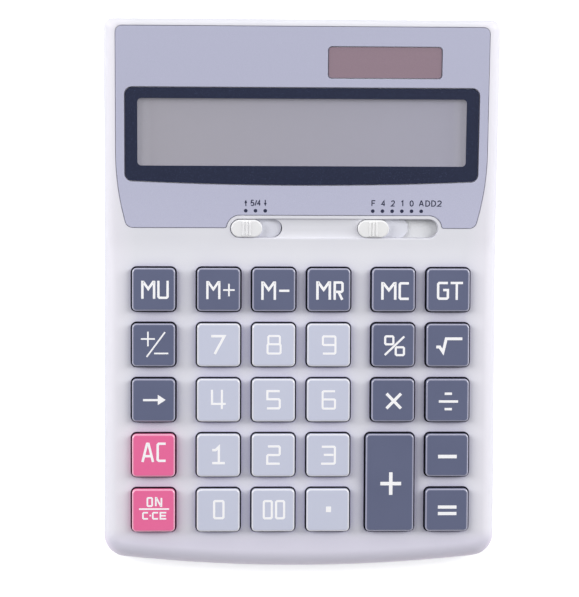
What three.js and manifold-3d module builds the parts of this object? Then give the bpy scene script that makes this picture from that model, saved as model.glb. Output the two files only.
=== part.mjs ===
// Desktop calculator with a tilted display, a solar cell, two slide switches and moulded keys.
//
// Lengths are millimetres. +Z is up, the user sits on the -Y side and the display is at +Y.
// The origin lies on the table, under the middle of the casing.
//
// The top of the casing is two flat decks that meet at a soft ridge. What sits on a deck is
// modelled in that deck's own frame: x to the right, y up the slope from the ridge and z
// square to the deck, with zero on its surface.

import * as THREE from 'three';
import { mergeVertices } from 'three/addons/utils/BufferGeometryUtils.js';
import Module from 'manifold-3d';

const wasm = await Module();
wasm.setup();

// Fits

const seatGap = 0.3;
const slideGap = 0.2;
const overrun = 6;
const weldDepth = 0.4;
const glassGap = 0.3;
const sameSpot = 0.000001;

// Facets. An arc in a flat outline gets two facets for each of its steps.

const cornerSteps = 2;
const smallCornerSteps = 1;
const curveSteps = 3;
const stripSteps = 12;
const bowFacets = 5;
const frontCornerFacets = 5;
const rearCornerFacets = 3;
const shoulderFacets = 4;
const innerShoulderFacets = 1;
const roundSides = 14;
const smallSides = 8;
const pinSides = 6;

// Keys

const keyPitch = 19.5;
const rowPitch = 19.63;
const keyGroupGap = 3.45;
const keySide = 15.2;
const keyCornerRadius = 2.1;
const keyRise = 2.6;
const keyBevel = 0.7;
const keyBevelDrop = 0.5;
const keyWall = 1.2;
const keyCeiling = 1.4;
const keyTravel = 2;
const keyPostSide = 3.8;
const keyFloorGap = 0.4;
const plusKeyWidth = 17.1;
const flangeReach = 0.7;
const flangeThickness = 0.8;

// Casing

const skin = 2;
const wall = 2;
const wallDraft = 0.35;
const keySideMargin = 17.8;
const keyFrontMargin = 15.18;
const keyRidgeMargin = 14.9;
const shoulderRun = 4.9;
const noseRun = 5.5;
const rearRun = 3.07;
const shoulderDropShare = 1.02;
const frontBowRadius = 580;
const frontCornerRadius = 8;
const rearCornerRadius = 3.5;
const deckCornerRadius = 1.8;
const ridgeBlend = 3;
const footHeight = 1.2;
const floorThickness = 2;
const baseInset = 1.6;
const baseRise = 1.8;
const partingRise = 4;
const lipThickness = 0.8;
const lipRise = 1.5;
const boardHeadroom = 2.1;
const keySlope = THREE.MathUtils.degToRad(4.5);
const displaySlope = THREE.MathUtils.degToRad(11);
const partingSlope = THREE.MathUtils.degToRad(3);

// Faceplate, in the display deck's frame

const plateSideMargin = 4.7;
const plateLow = 7.15;
const plateThickness = 0.9;
const plateProud = 0.2;
const plateTopRadius = 2.1;
const plateBottomRadius = 2.5;
const plateCurveRadius = 94;
const plateCurveRise = 26.55;
const plateRearMargin = 0.5;
const notchRim = 1.55;
const notchMouthRadius = 1;

// Windows

const windowRise = 16.55;
const windowLength = 32.7;
const windowSideMargin = 3.1;
const windowRadius = 2.5;
const windowBow = 1.35;
const windowSunk = 0.2;
const viewInset = 4.3;
const viewLowRise = 5.1;
const viewHighDrop = 3.9;
const solarRise = 3.6;
const solarLength = 10.75;
const solarWidth = 39.7;
const solarSideMargin = 16.6;
const solarRadius = 1.1;
const plateTopMargin = 6.9;

// Slide switches

const switchLine = 6.72;
const knobLength = 11.1;
const knobWidth = 6.2;
const knobRise = 0.5;
const knobBevel = 0.5;
const ribCount = 3;
const ribWidth = 0.55;
const ribPitch = 1.05;
const ribRise = 0.8;
const switchStep = 3.44;
const roundingSteps = 2;
const decimalSteps = 5;
const roundingKnobX = -19.41;
const decimalKnobX = 25.54;
const troughDepth = 1;
const troughMargin = 0.1;
const shutterOverlap = 0.75;
const shutterTail = 6.85;
const shutterThickness = 0.9;
const lugLength = 6;
const lugReach = 3;
const wiperThickness = 0.3;
const wiperWidth = 2;
const wiperFoot = 3;
const guideFloor = 0.8;
const guideRail = 1.7;

// Display and solar parts under the skin

const displayGlass = 1.4;
const displayMargin = 2;
const displayLedge = 1.8;
const frameWall = 1.5;
const frameFloor = 0.8;
const earRadius = 2.4;
const earThickness = 1.2;
const earInset = 5;
const cellMargin = 2;
const cellThickness = 1.1;
const cellRibWall = 1;
const cellRibDepth = 1.2;
const ribbonWidth = 24;
const ribbonX = 6;
const ribbonThickness = 0.2;

// Circuit board and rubber keypad

const boardThickness = 1.2;
const boardSideMargin = 4.4;
const boardFrontMargin = 1.58;
const boardPastRidge = 15;
const boardRadius = 2;
const chipRadius = 8;
const chipRise = 1.8;
const chipX = 30;
const chipSetback = 8;
const padThickness = 0.8;
const padMargin = 0.6;
const padRadius = 2;
const domeBaseRadius = 4.2;
const domeTopRadius = 2.7;
const domeRise = 1.9;
const domeWall = 0.8;

// Pins melted over what they hold, and the pillars that they stand on

const pillarRadius = 1.6;
const pinRadius = 0.9;
const pinHeadRadius = 1.7;
const pinHeadRise = 0.8;
const boardPinInset = 2.2;
const boardPinFront = 6.5;
const boardPinRear = 6;

// Case screws and feet

const screwShankRadius = 1.2;
const screwHeadRadius = 2.4;
const screwHeadRise = 1.4;
const screwLength = 6.4;
const screwShelf = 1.6;
const screwSink = 2.2;
const bossWall = 1;
const rearScrewInset = 10;
const rearScrewSetback = 10;
const frontScrewShift = 0.6;
const footRadius = 5;
const footPocket = 0.8;
const footChamfer = 0.4;
const footInset = 15;
const frontFootSetback = 22;
const rearFootSetback = 25;

// Battery, its compartment and cover

const batteryRadius = 7.1;
const batteryLength = 50.4;
const nibRadius = 2.7;
const nibLength = 1.2;
const batteryX = 0;
const batterySetback = 24.2;
const springLength = 5.5;
const springTurns = 4;
const springWireRadius = 0.35;
const springRadius = 3.6;
const springSteps = 3;
const springTurnSteps = 8;
const contactSide = 11;
const contactThickness = 0.4;
const tabWidth = 4;
const tabRise = 1.6;
const tubWall = 1.5;
const tubClearance = 0.9;
const coverThickness = 1.6;
const coverTongue = 1.5;
const coverTongueThickness = 0.7;
const coverOverlap = 1.8;
const ceilingThickness = 1.5;
const ceilingMargin = 2;
const gripCount = 5;
const gripPitch = 2;
const gripWidth = 0.9;
const gripDepth = 0.4;
const gripLength = 14;
const gripSetback = 7;

// Leads

const leadRadius = 0.7;
const leadPitch = 2.25;
const leadSectionSteps = 3;
const leadSteps = 10;

// Places worked out from the sizes above

const keyRows = [
  ['key_mu', 'key_m_plus', 'key_m_minus', 'key_mr', 'key_mc', 'key_gt'],
  ['key_sign', 'key_7', 'key_8', 'key_9', 'key_percent', 'key_root'],
  ['key_backspace', 'key_4', 'key_5', 'key_6', 'key_multiply', 'key_divide'],
  ['key_ac', 'key_1', 'key_2', 'key_3', 'key_plus', 'key_minus'],
  ['key_on', 'key_0', 'key_00', 'key_point', null, 'key_equals'],
];
const groupStarts = [1, 4];
const rowCount = keyRows.length;
const columnCount = keyRows[0].length;
const plusRow = keyRows.findIndex((names) => names.includes('key_plus'));
const plusColumn = keyRows[plusRow].indexOf('key_plus');
const columnX = keyRows[0].map((name, column) => {
  const gapsPassed = groupStarts.filter((start) => column >= start).length;
  const middle = (columnCount - 1) / 2;
  return (column - middle) * keyPitch + (gapsPassed - groupStarts.length / 2) * keyGroupGap;
});
const rowY = keyRows.map((names, row) => -keyRidgeMargin - row * rowPitch);
const keyBodyDepth = skin + seatGap + flangeThickness;
const flangeSide = keySide + 2 * flangeReach;
const plusKeyLength = rowPitch + keySide;
const plusKeyX = columnX[plusColumn] - (plusKeyWidth - keySide) / 2;
const plusKeyY = (rowY[plusRow] + rowY[plusRow + 1]) / 2;
const plusPostShifts = [-rowPitch / 2, rowPitch / 2];

const casingHalf = columnX[columnCount - 1] + keySideMargin;
const keyDeckRun = keyRidgeMargin + (rowCount - 1) * rowPitch + keyFrontMargin;
const plateLength = windowRise + windowLength + solarRise + solarLength + plateTopMargin;
const plateHigh = plateLow + plateLength;
const displayDeckRun = plateHigh + plateRearMargin;
const frontReach = keyDeckRun * Math.cos(keySlope) + noseRun;
const rearReach = displayDeckRun * Math.cos(displaySlope) + rearRun;
const casingFront = -(frontReach + rearReach) / 2;
const casingRear = -casingFront;
const ridgeY = casingFront + frontReach;

const floorTop = footHeight + floorThickness;
const boardDepth = keyBodyDepth + keyTravel + keyFloorGap + padThickness + seatGap;
const boardLow = -boardDepth - boardThickness;
const boardFront = rowY[rowCount - 1] - flangeSide / 2 - boardFrontMargin;
const boardHalf = casingHalf - boardSideMargin;
const ridgeZ = floorTop + boardHeadroom - boardLow * Math.cos(keySlope) - boardFront * Math.sin(keySlope);
const partingFront = footHeight + partingRise;

const plateHalf = casingHalf - plateSideMargin;
const windowLow = plateLow + windowRise;
const windowHigh = windowLow + windowLength;
const windowHalf = plateHalf - windowSideMargin;
const viewHalf = windowHalf - viewInset;
const solarCentre = plateHalf - solarSideMargin - solarWidth / 2;
const viewLow = windowLow + viewLowRise;
const viewHigh = windowHigh - viewHighDrop;
const solarLow = windowHigh + solarRise;
const solarHigh = solarLow + solarLength;
const plateBottomFace = plateProud - plateThickness;
const recessDepth = seatGap - plateBottomFace;

const troughRadius = knobWidth / 2 + slideGap + troughMargin;
const slotRadius = knobWidth / 2 + slideGap;
const knobCap = knobWidth / 2;
const roundingTravel = roundingSteps * switchStep;
const decimalTravel = decimalSteps * switchStep;
const troughLeft = roundingKnobX - knobLength / 2 - slideGap - troughMargin;
const troughRight = decimalKnobX + decimalTravel + knobLength / 2 + slideGap + troughMargin;
const shutterHalfWidth = slotRadius + shutterOverlap;
const shutterHalf = knobLength / 2 + shutterTail;
const shutterHigh = -skin - seatGap;
const shutterLow = shutterHigh - shutterThickness;
const lugEdge = switchLine + shutterHalfWidth + lugReach;
const guideTop = shutterLow - seatGap;
const guideLow = guideTop - guideFloor;
const guidePinSetback = guideRail + seatGap + pillarRadius;
const guideEnd = guidePinSetback + pillarRadius + seatGap;
const guideLeft = roundingKnobX - shutterHalf - seatGap - guideEnd;
const guideRight = decimalKnobX + decimalTravel + shutterHalf + seatGap + guideEnd;
const guideFront = switchLine - shutterHalfWidth - seatGap - guideRail;
const guideRear = switchLine + shutterHalfWidth + seatGap;

const panelHalf = viewHalf + displayMargin + seatGap;
const panelLow = viewLow - displayMargin;
const panelHigh = viewHigh + displayMargin;
const panelTop = -skin - seatGap;
const panelBottom = panelTop - 2 * displayGlass;
const frameTop = -skin - seatGap;
const frameFloorTop = panelBottom - seatGap;
const frameBottom = frameFloorTop - frameFloor;
const frameHalf = panelHalf + seatGap + frameWall;
const frameFront = panelLow - displayLedge - seatGap - frameWall;
const frameRear = panelHigh + seatGap + frameWall;

const padTop = -boardDepth + seatGap + padThickness;
const domeTop = padTop + domeRise;

const bossRadius = screwShankRadius + seatGap + bossWall;
const counterRadius = screwHeadRadius + seatGap;
const shelfLow = footHeight + screwSink;
const shelfHigh = shelfLow + screwShelf;
const lowerBossRadius = counterRadius + bossWall;
const coverTop = footHeight + coverThickness;
const ceilingLow = coverTop + seatGap;
const ceilingHigh = ceilingLow + ceilingThickness;
const batteryY = casingRear - batterySetback;
const batteryZ = coverTop + tubClearance + batteryRadius;
const tubHalfY = batteryRadius + tubClearance;
const tubTop = batteryZ + batteryRadius + tubClearance;
const tubLeft = batteryX - batteryLength / 2 - springLength - contactThickness - 2 * seatGap;
const tubRight = batteryX + batteryLength / 2 + contactThickness + 2 * seatGap;
const coverLeft = tubLeft - coverOverlap;
const coverRight = tubRight + coverOverlap;
const coverFront = batteryY - tubHalfY - coverOverlap;
const coverRear = casingRear - baseInset - seatGap;
const solarLeadX = solarCentre - solarWidth / 2 + cellMargin;

// Finishes

const finishes = {
  shell: { color: 0xeceef4, roughness: 0.42, metalness: 0 },
  plate: { color: 0xb7bcd0, roughness: 0.38, metalness: 0.35 },
  navy: { color: 0x2c3650, roughness: 0.3, metalness: 0.1 },
  solar: { color: 0x7d5f66, roughness: 0.35, metalness: 0.2 },
  display: { color: 0xa5a3aa, roughness: 0.3, metalness: 0 },
  slate: { color: 0x58607d, roughness: 0.4, metalness: 0 },
  pale: { color: 0xcbcee0, roughness: 0.4, metalness: 0 },
  rose: { color: 0xf05f9b, roughness: 0.4, metalness: 0 },
  knob: { color: 0xe6e9f4, roughness: 0.4, metalness: 0 },
  guide: { color: 0xdfe3ee, roughness: 0.6, metalness: 0 },
  rubber: { color: 0x9aa0a6, roughness: 0.8, metalness: 0 },
  foot: { color: 0x2d2f33, roughness: 0.85, metalness: 0 },
  board: { color: 0x3f6b45, roughness: 0.6, metalness: 0 },
  ribbon: { color: 0xb98a4a, roughness: 0.5, metalness: 0 },
  steel: { color: 0xc4c6c9, roughness: 0.3, metalness: 1 },
  cell: { color: 0x3a3f45, roughness: 0.4, metalness: 0.5 },
  lead: { color: 0xa8322c, roughness: 0.6, metalness: 0 },
};

// Solids

// A shape is kept as a solid while it is joined and cut, and becomes a mesh when it is placed.
function solidOf(shape) {
  if (shape instanceof wasm.Manifold) {
    return shape;
  }
  const bare = shape.clone();
  bare.deleteAttribute('normal');
  bare.deleteAttribute('uv');
  const merged = mergeVertices(bare);
  const index = Array.from(merged.index.array);
  const kept = [];
  for (let i = 0; i < index.length; i += 3) {
    const [a, b, c] = index.slice(i, i + 3);
    if (a !== b && b !== c && c !== a) {
      kept.push(a, b, c);
    }
  }
  const mesh = new wasm.Mesh({
    numProp: 3,
    vertProperties: merged.attributes.position.array,
    triVerts: Uint32Array.from(kept),
  });
  mesh.merge();
  return new wasm.Manifold(mesh);
}

function geometryOf(shape) {
  if (shape instanceof THREE.BufferGeometry) {
    return shape;
  }
  const mesh = shape.getMesh();
  const geometry = new THREE.BufferGeometry();
  geometry.setAttribute('position', new THREE.BufferAttribute(mesh.vertProperties, 3));
  geometry.setIndex(new THREE.BufferAttribute(mesh.triVerts, 1));
  geometry.computeVertexNormals();
  return geometry;
}

function join(...shapes) {
  return shapes.map(solidOf).reduce((whole, solid) => whole.add(solid));
}

function cut(shape, ...tools) {
  return tools.map(solidOf).reduce((whole, tool) => whole.subtract(tool), solidOf(shape));
}

function moved(shape, x, y, z) {
  return geometryOf(shape).clone().translate(x, y, z);
}

function prism(shape, low, high, steps = cornerSteps) {
  const settings = { depth: high - low, bevelEnabled: false, curveSegments: steps };
  return new THREE.ExtrudeGeometry(shape, settings).translate(0, 0, low);
}

function block([x0, x1], [y0, y1], [z0, z1]) {
  const box = new THREE.BoxGeometry(x1 - x0, y1 - y0, z1 - z0);
  return box.translate((x0 + x1) / 2, (y0 + y1) / 2, (z0 + z1) / 2);
}

// A solid turned about the z axis from points [radius, height] that start and end on the axis.
function turned(profile, sides) {
  const points = profile.map(([radius, height]) => new THREE.Vector2(radius, height));
  return new THREE.LatheGeometry(points, sides).rotateX(Math.PI / 2);
}

function rod(radius, low, high, sides) {
  return turned([[0, low], [radius, low], [radius, high], [0, high]], sides);
}

function roundedShape(halfWidth, halfLength, radius) {
  const shape = new THREE.Shape();
  const quarter = Math.PI / 2;
  shape.absarc(halfWidth - radius, halfLength - radius, radius, 0, quarter);
  shape.absarc(radius - halfWidth, halfLength - radius, radius, quarter, 2 * quarter);
  shape.absarc(radius - halfWidth, radius - halfLength, radius, 2 * quarter, 3 * quarter);
  shape.absarc(halfWidth - radius, radius - halfLength, radius, 3 * quarter, 4 * quarter);
  return shape;
}

// A rounded outline given by its sides rather than by its middle.
function panelShape(left, right, low, high, radius) {
  const shape = new THREE.Shape();
  const quarter = Math.PI / 2;
  shape.absarc(right - radius, high - radius, radius, 0, quarter);
  shape.absarc(left + radius, high - radius, radius, quarter, 2 * quarter);
  shape.absarc(left + radius, low + radius, radius, 2 * quarter, 3 * quarter);
  shape.absarc(right - radius, low + radius, radius, 3 * quarter, 4 * quarter);
  return shape;
}

function slotShape(left, right, middle, radius) {
  return panelShape(left, right, middle - radius, middle + radius, radius);
}

// The outline of a thin strip that follows a smooth line through the given points.
function stripShape(points, thickness, steps) {
  const line = new THREE.SplineCurve(points.map(([x, y]) => new THREE.Vector2(x, y)));
  const sides = [-1, 1].map((side) => {
    const edge = [];
    for (let i = 0; i <= steps; i += 1) {
      const tangent = line.getTangent(i / steps);
      const normal = new THREE.Vector2(-tangent.y, tangent.x);
      edge.push(line.getPoint(i / steps).addScaledVector(normal, (side * thickness) / 2));
    }
    return edge;
  });
  return new THREE.Shape([...sides[0], ...sides[1].reverse()]);
}

// A closed skin over rings with the same number of points, each anticlockwise seen from above.
function loft(rings, capOf) {
  const count = rings[0].length;
  const top = (rings.length - 1) * count;
  const index = [];
  for (let level = 0; level < top; level += count) {
    for (let i = 0; i < count; i += 1) {
      const a = level + i;
      const b = level + ((i + 1) % count);
      index.push(a, b, b + count, a, b + count, a + count);
    }
  }
  for (const [a, b, c] of capOf(count)) {
    index.push(c, b, a, top + a, top + b, top + c);
  }
  const positions = rings.flat().flatMap((point) => [point.x, point.y, point.z]);
  const geometry = new THREE.BufferGeometry();
  geometry.setAttribute('position', new THREE.Float32BufferAttribute(positions, 3));
  geometry.setIndex(index);
  return geometry;
}

function fanCap(count) {
  const triangles = [];
  for (let i = 1; i + 1 < count; i += 1) {
    triangles.push([0, i, i + 1]);
  }
  return triangles;
}

// A cap whose quads run straight across a ring that is alike on its left and right.
function ladderCap(count) {
  const triangles = [[0, 1, count - 1]];
  for (let i = 1; 2 * i + 1 < count; i += 1) {
    triangles.push([i, i + 1, count - i - 1], [i, count - i - 1, count - i]);
  }
  return triangles.filter(([a, b, c]) => a !== b && b !== c && c !== a);
}

function shapeRing(shape, height, steps) {
  const points = shape.extractPoints(steps).shape;
  const open = points[0].distanceTo(points[points.length - 1]) > 0 ? points : points.slice(1);
  const distinct = open.filter((point, i) => point.distanceTo(open[(i + 1) % open.length]) > sameSpot);
  return distinct.map((point) => new THREE.Vector3(point.x, point.y, height));
}

// Casing surfaces

function deckHeight(y) {
  const past = y - ridgeY;
  const keyRate = Math.tan(keySlope);
  const displayRate = Math.tan(displaySlope);
  if (past <= -ridgeBlend) {
    return ridgeZ + past * keyRate;
  }
  if (past >= ridgeBlend) {
    return ridgeZ + past * displayRate;
  }
  const bend = (displayRate - keyRate) / (4 * ridgeBlend);
  return ridgeZ + past * keyRate + bend * (past + ridgeBlend) ** 2;
}

function partingHeight(y) {
  return partingFront + (y - casingFront) * Math.tan(partingSlope);
}

const fullOutline = {
  half: casingHalf,
  front: casingFront,
  rear: casingRear,
  bow: frontBowRadius,
  frontRadius: frontCornerRadius,
  rearRadius: rearCornerRadius,
};

function inset(outline, distance) {
  return {
    half: outline.half - distance,
    front: outline.front + distance,
    rear: outline.rear - distance,
    bow: outline.bow - distance,
    frontRadius: outline.frontRadius - distance,
    rearRadius: outline.rearRadius - distance,
  };
}

const deckOutline = {
  half: casingHalf - shoulderRun,
  front: casingFront + noseRun,
  rear: casingRear - rearRun,
  bow: frontBowRadius - noseRun,
  frontRadius: frontCornerRadius - shoulderRun,
  rearRadius: deckCornerRadius,
};

function frontCornerCentre(outline) {
  const reach = outline.bow - outline.frontRadius;
  const x = outline.half - outline.frontRadius;
  return new THREE.Vector2(x, outline.front + outline.bow - Math.sqrt(reach ** 2 - x ** 2));
}

// A plan outline's points: the bowed front edge, the right side, the rear, then the left side.
function planPoints(outline) {
  const bowCentre = outline.front + outline.bow;
  const corner = frontCornerCentre(outline);
  const cornerStart = Math.atan2(corner.y - bowCentre, corner.x);
  const half = [];
  for (let i = 0; i < bowFacets; i += 1) {
    const angle = -Math.PI / 2 + ((cornerStart + Math.PI / 2) * i) / bowFacets;
    half.push([outline.bow * Math.cos(angle), bowCentre + outline.bow * Math.sin(angle)]);
  }
  half[0][0] = 0;
  for (let i = 0; i <= frontCornerFacets; i += 1) {
    const angle = cornerStart * (1 - i / frontCornerFacets);
    const reach = outline.frontRadius;
    half.push([corner.x + reach * Math.cos(angle), corner.y + reach * Math.sin(angle)]);
  }
  for (const along of [-1, -1 / 2, 0, 1 / 2, 1]) {
    half.push([outline.half, ridgeY + along * ridgeBlend]);
  }
  for (let i = 0; i <= rearCornerFacets; i += 1) {
    const angle = ((Math.PI / 2) * i) / rearCornerFacets;
    const x = outline.half - outline.rearRadius * (1 - Math.cos(angle));
    half.push([x, outline.rear - outline.rearRadius * (1 - Math.sin(angle))]);
  }
  const mirrored = half.slice(1).reverse().map(([x, y]) => [-x, y]);
  return [...half, ...mirrored];
}

function ringAt(outline, heightOf) {
  return planPoints(outline).map(([x, y]) => new THREE.Vector3(x, y, heightOf(y)));
}

// Rings that roll over from a wall's top to the edge of a deck, as deep as the roll is wide.
function shoulderRings(wallOutline, edgeOutline, depth, facets) {
  const wallRing = ringAt(wallOutline, deckHeight);
  const edgeRing = ringAt(edgeOutline, deckHeight);
  const rings = [];
  for (let step = 0; step <= facets; step += 1) {
    const angle = ((Math.PI / 2) * step) / facets;
    rings.push(wallRing.map((wallPoint, i) => {
      const edgePoint = edgeRing[i];
      const run = Math.hypot(edgePoint.x - wallPoint.x, edgePoint.y - wallPoint.y);
      const point = wallPoint.clone().lerp(edgePoint, 1 - Math.cos(angle));
      point.z = deckHeight(point.y) - depth - shoulderDropShare * run * (1 - Math.sin(angle));
      return point;
    }));
  }
  return rings;
}

const keyDeck = new THREE.Group();
keyDeck.position.set(0, ridgeY, ridgeZ);
keyDeck.rotation.x = keySlope;
keyDeck.updateMatrix();

const displayDeck = new THREE.Group();
displayDeck.position.set(0, ridgeY, ridgeZ);
displayDeck.rotation.x = displaySlope;
displayDeck.updateMatrix();

function onDeck(deck, shape) {
  return geometryOf(shape).clone().applyMatrix4(deck.matrix);
}

// Outlines on the display deck

// The faceplate's edge: drawn-in lower sides and a notch that follows the rim of the trough.
function plateShape(grow) {
  const low = plateLow - grow;
  const high = plateHigh + grow;
  const half = plateHalf + grow;
  const curve = plateCurveRadius + grow;
  const curveStart = plateLow + plateCurveRise;
  const topRadius = plateTopRadius + grow;
  const bottomRadius = plateBottomRadius + grow;
  const rim = troughRadius + notchRim - grow;
  const mouth = notchMouthRadius + grow;
  const mouthY = low + mouth;
  const mouthShift = Math.sqrt((rim + mouth) ** 2 - (mouthY - switchLine) ** 2);
  const mouthAngle = Math.atan2(switchLine - mouthY, mouthShift);
  const footY = low + bottomRadius;
  const footX = half - curve + Math.sqrt((curve - bottomRadius) ** 2 - (curveStart - footY) ** 2);
  const footAngle = Math.atan2(footY - curveStart, footX - half + curve);
  const leftEnd = troughLeft + troughRadius;
  const rightEnd = troughRight - troughRadius;
  const quarter = Math.PI / 2;
  const shape = new THREE.Shape();
  shape.absarc(half - topRadius, high - topRadius, topRadius, 0, quarter);
  shape.absarc(topRadius - half, high - topRadius, topRadius, quarter, 2 * quarter);
  shape.absarc(curve - half, curveStart, curve, 2 * quarter, 2 * quarter - footAngle);
  shape.absarc(-footX, footY, bottomRadius, 2 * quarter - footAngle, 3 * quarter);
  shape.absarc(leftEnd - mouthShift, mouthY, mouth, -quarter, mouthAngle);
  shape.absarc(leftEnd, switchLine, rim, 2 * quarter + mouthAngle, quarter, true);
  shape.absarc(rightEnd, switchLine, rim, quarter, -mouthAngle, true);
  shape.absarc(rightEnd + mouthShift, mouthY, mouth, 2 * quarter - mouthAngle, 3 * quarter);
  shape.absarc(footX, footY, bottomRadius, -quarter, footAngle);
  shape.absarc(half - curve, curveStart, curve, footAngle, 0);
  return shape;
}

// The display window's edge, with its lower side bowed towards the user.
function windowShape(grow) {
  const half = windowHalf + grow;
  const low = windowLow - grow;
  const high = windowHigh + grow;
  const radius = windowRadius + grow;
  const span = half - radius;
  const bow = (span ** 2 + windowBow ** 2) / (2 * windowBow);
  const tilt = Math.asin(span / bow);
  const quarter = Math.PI / 2;
  const shape = new THREE.Shape();
  shape.absarc(span, high - radius, radius, 0, quarter);
  shape.absarc(-span, high - radius, radius, quarter, 2 * quarter);
  shape.absarc(-span, low + radius, radius, 2 * quarter, 3 * quarter - tilt);
  shape.absarc(0, low - windowBow + bow, bow, 3 * quarter - tilt, 3 * quarter + tilt);
  shape.absarc(span, low + radius, radius, 3 * quarter + tilt, 4 * quarter);
  return shape;
}

function solarShape(grow) {
  const left = solarCentre - solarWidth / 2 - grow;
  const right = solarCentre + solarWidth / 2 + grow;
  return panelShape(left, right, solarLow - grow, solarHigh + grow, solarRadius + grow);
}

// A shallow dish as long as the switch strip, whose section is close to an arc.
function troughTool() {
  const levelShares = [[0, 0], [0.6, 0.2], [0.95, 0.55]];
  const rings = levelShares.map(([depthShare, insetShare]) => {
    const radius = troughRadius * (1 - insetShare);
    const shift = troughRadius - radius;
    const shape = slotShape(troughLeft + shift, troughRight - shift, switchLine, radius);
    return shapeRing(shape, -depthShare * troughDepth, curveSteps);
  });
  const mouth = rings[0].map((point) => point.clone().setZ(overrun));
  return loft([...rings.reverse(), mouth], fanCap);
}

function slotEnds(knobX, travel) {
  const reach = knobLength / 2 + slideGap;
  return [knobX - reach, knobX + travel + reach];
}

function slotTool(knobX, travel) {
  const [left, right] = slotEnds(knobX, travel);
  return prism(slotShape(left, right, switchLine, slotRadius), -overrun, overrun, curveSteps);
}

// Pins

// A pillar and the pin that ends it, melted over into a head below what it holds.
function stake(top, pillarEnd, headTop) {
  const profile = [
    [0, headTop - pinHeadRise],
    [pinHeadRadius, headTop],
    [pinRadius, headTop],
    [pinRadius, pillarEnd],
    [pillarRadius, pillarEnd],
    [pillarRadius, top],
    [0, top],
  ];
  return turned(profile, pinSides);
}

const boardPins = [
  ...[-1, 1].flatMap((side) => {
    const x = side * (boardHalf - boardPinInset);
    return [
      [x, boardFront + boardPinFront],
      [x, boardPastRidge - boardPinRear],
    ];
  }),
  ...groupStarts.map((start) => [(columnX[start - 1] + columnX[start]) / 2, (rowY[1] + rowY[2]) / 2]),
];

const guidePins = [
  guideLeft + guidePinSetback,
  (roundingKnobX + roundingTravel + decimalKnobX) / 2,
  guideRight - guidePinSetback,
];

const earReach = pinHeadRadius + seatGap;
const framePins = [-1, 1].flatMap((side) => [
  [side * (frameHalf - earInset), frameFront - earReach],
  [side * (frameHalf - earInset), frameRear + earReach],
]);

const screwPlaces = [-1, 1].flatMap((side) => {
  const corner = frontCornerCentre(fullOutline);
  return [
    [side * (corner.x + frontScrewShift), corner.y - frontScrewShift],
    [side * (casingHalf - rearScrewInset), casingRear - rearScrewSetback],
  ];
});

const footPlaces = [-1, 1].flatMap((side) => [
  [side * (casingHalf - footInset), casingFront + frontFootSetback],
  [side * (casingHalf - footInset), casingRear - rearFootSetback],
]);

// Casing

function wellTool(x, y, width, length) {
  const shape = roundedShape(width / 2, length / 2, keyCornerRadius + seatGap);
  return moved(prism(shape, -overrun, overrun, smallCornerSteps), x, y, 0);
}

function eachKey(make) {
  return keyRows.flatMap((names, row) => names.flatMap((name, column) => {
    if (name === null) {
      return [];
    }
    const tall = name === 'key_plus';
    const x = tall ? plusKeyX : columnX[column];
    const y = tall ? plusKeyY : rowY[row];
    const width = tall ? plusKeyWidth : keySide;
    const length = tall ? plusKeyLength : keySide;
    return [make({ name, x, y, width, length })];
  }));
}

function upperShell() {
  const wallTop = inset(fullOutline, wallDraft);
  const outer = loft(
    [
      ringAt(fullOutline, (y) => partingHeight(y) + seatGap),
      ...shoulderRings(wallTop, deckOutline, 0, shoulderFacets),
    ],
    ladderCap,
  );
  const innerWall = inset(fullOutline, wall);
  const innerEdge = {
    ...inset(deckOutline, weldDepth),
    frontRadius: deckOutline.frontRadius,
    rearRadius: innerWall.rearRadius,
    rear: innerWall.rear - weldDepth,
  };
  const inner = loft(
    [
      ringAt(innerWall, (y) => partingHeight(y) - overrun),
      ...shoulderRings(inset(innerWall, wallDraft), innerEdge, skin, innerShoulderFacets),
    ],
    ladderCap,
  );
  return cut(outer, inner);
}

function cellRib() {
  const grown = cellMargin + seatGap;
  const ribOutline = solarShape(grown + cellRibWall);
  const rib = prism(ribOutline, -skin - cellRibDepth, weldDepth - skin, smallCornerSteps);
  const room = prism(solarShape(grown), -skin - overrun, 0, smallCornerSteps);
  return cut(rib, room);
}

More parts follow.
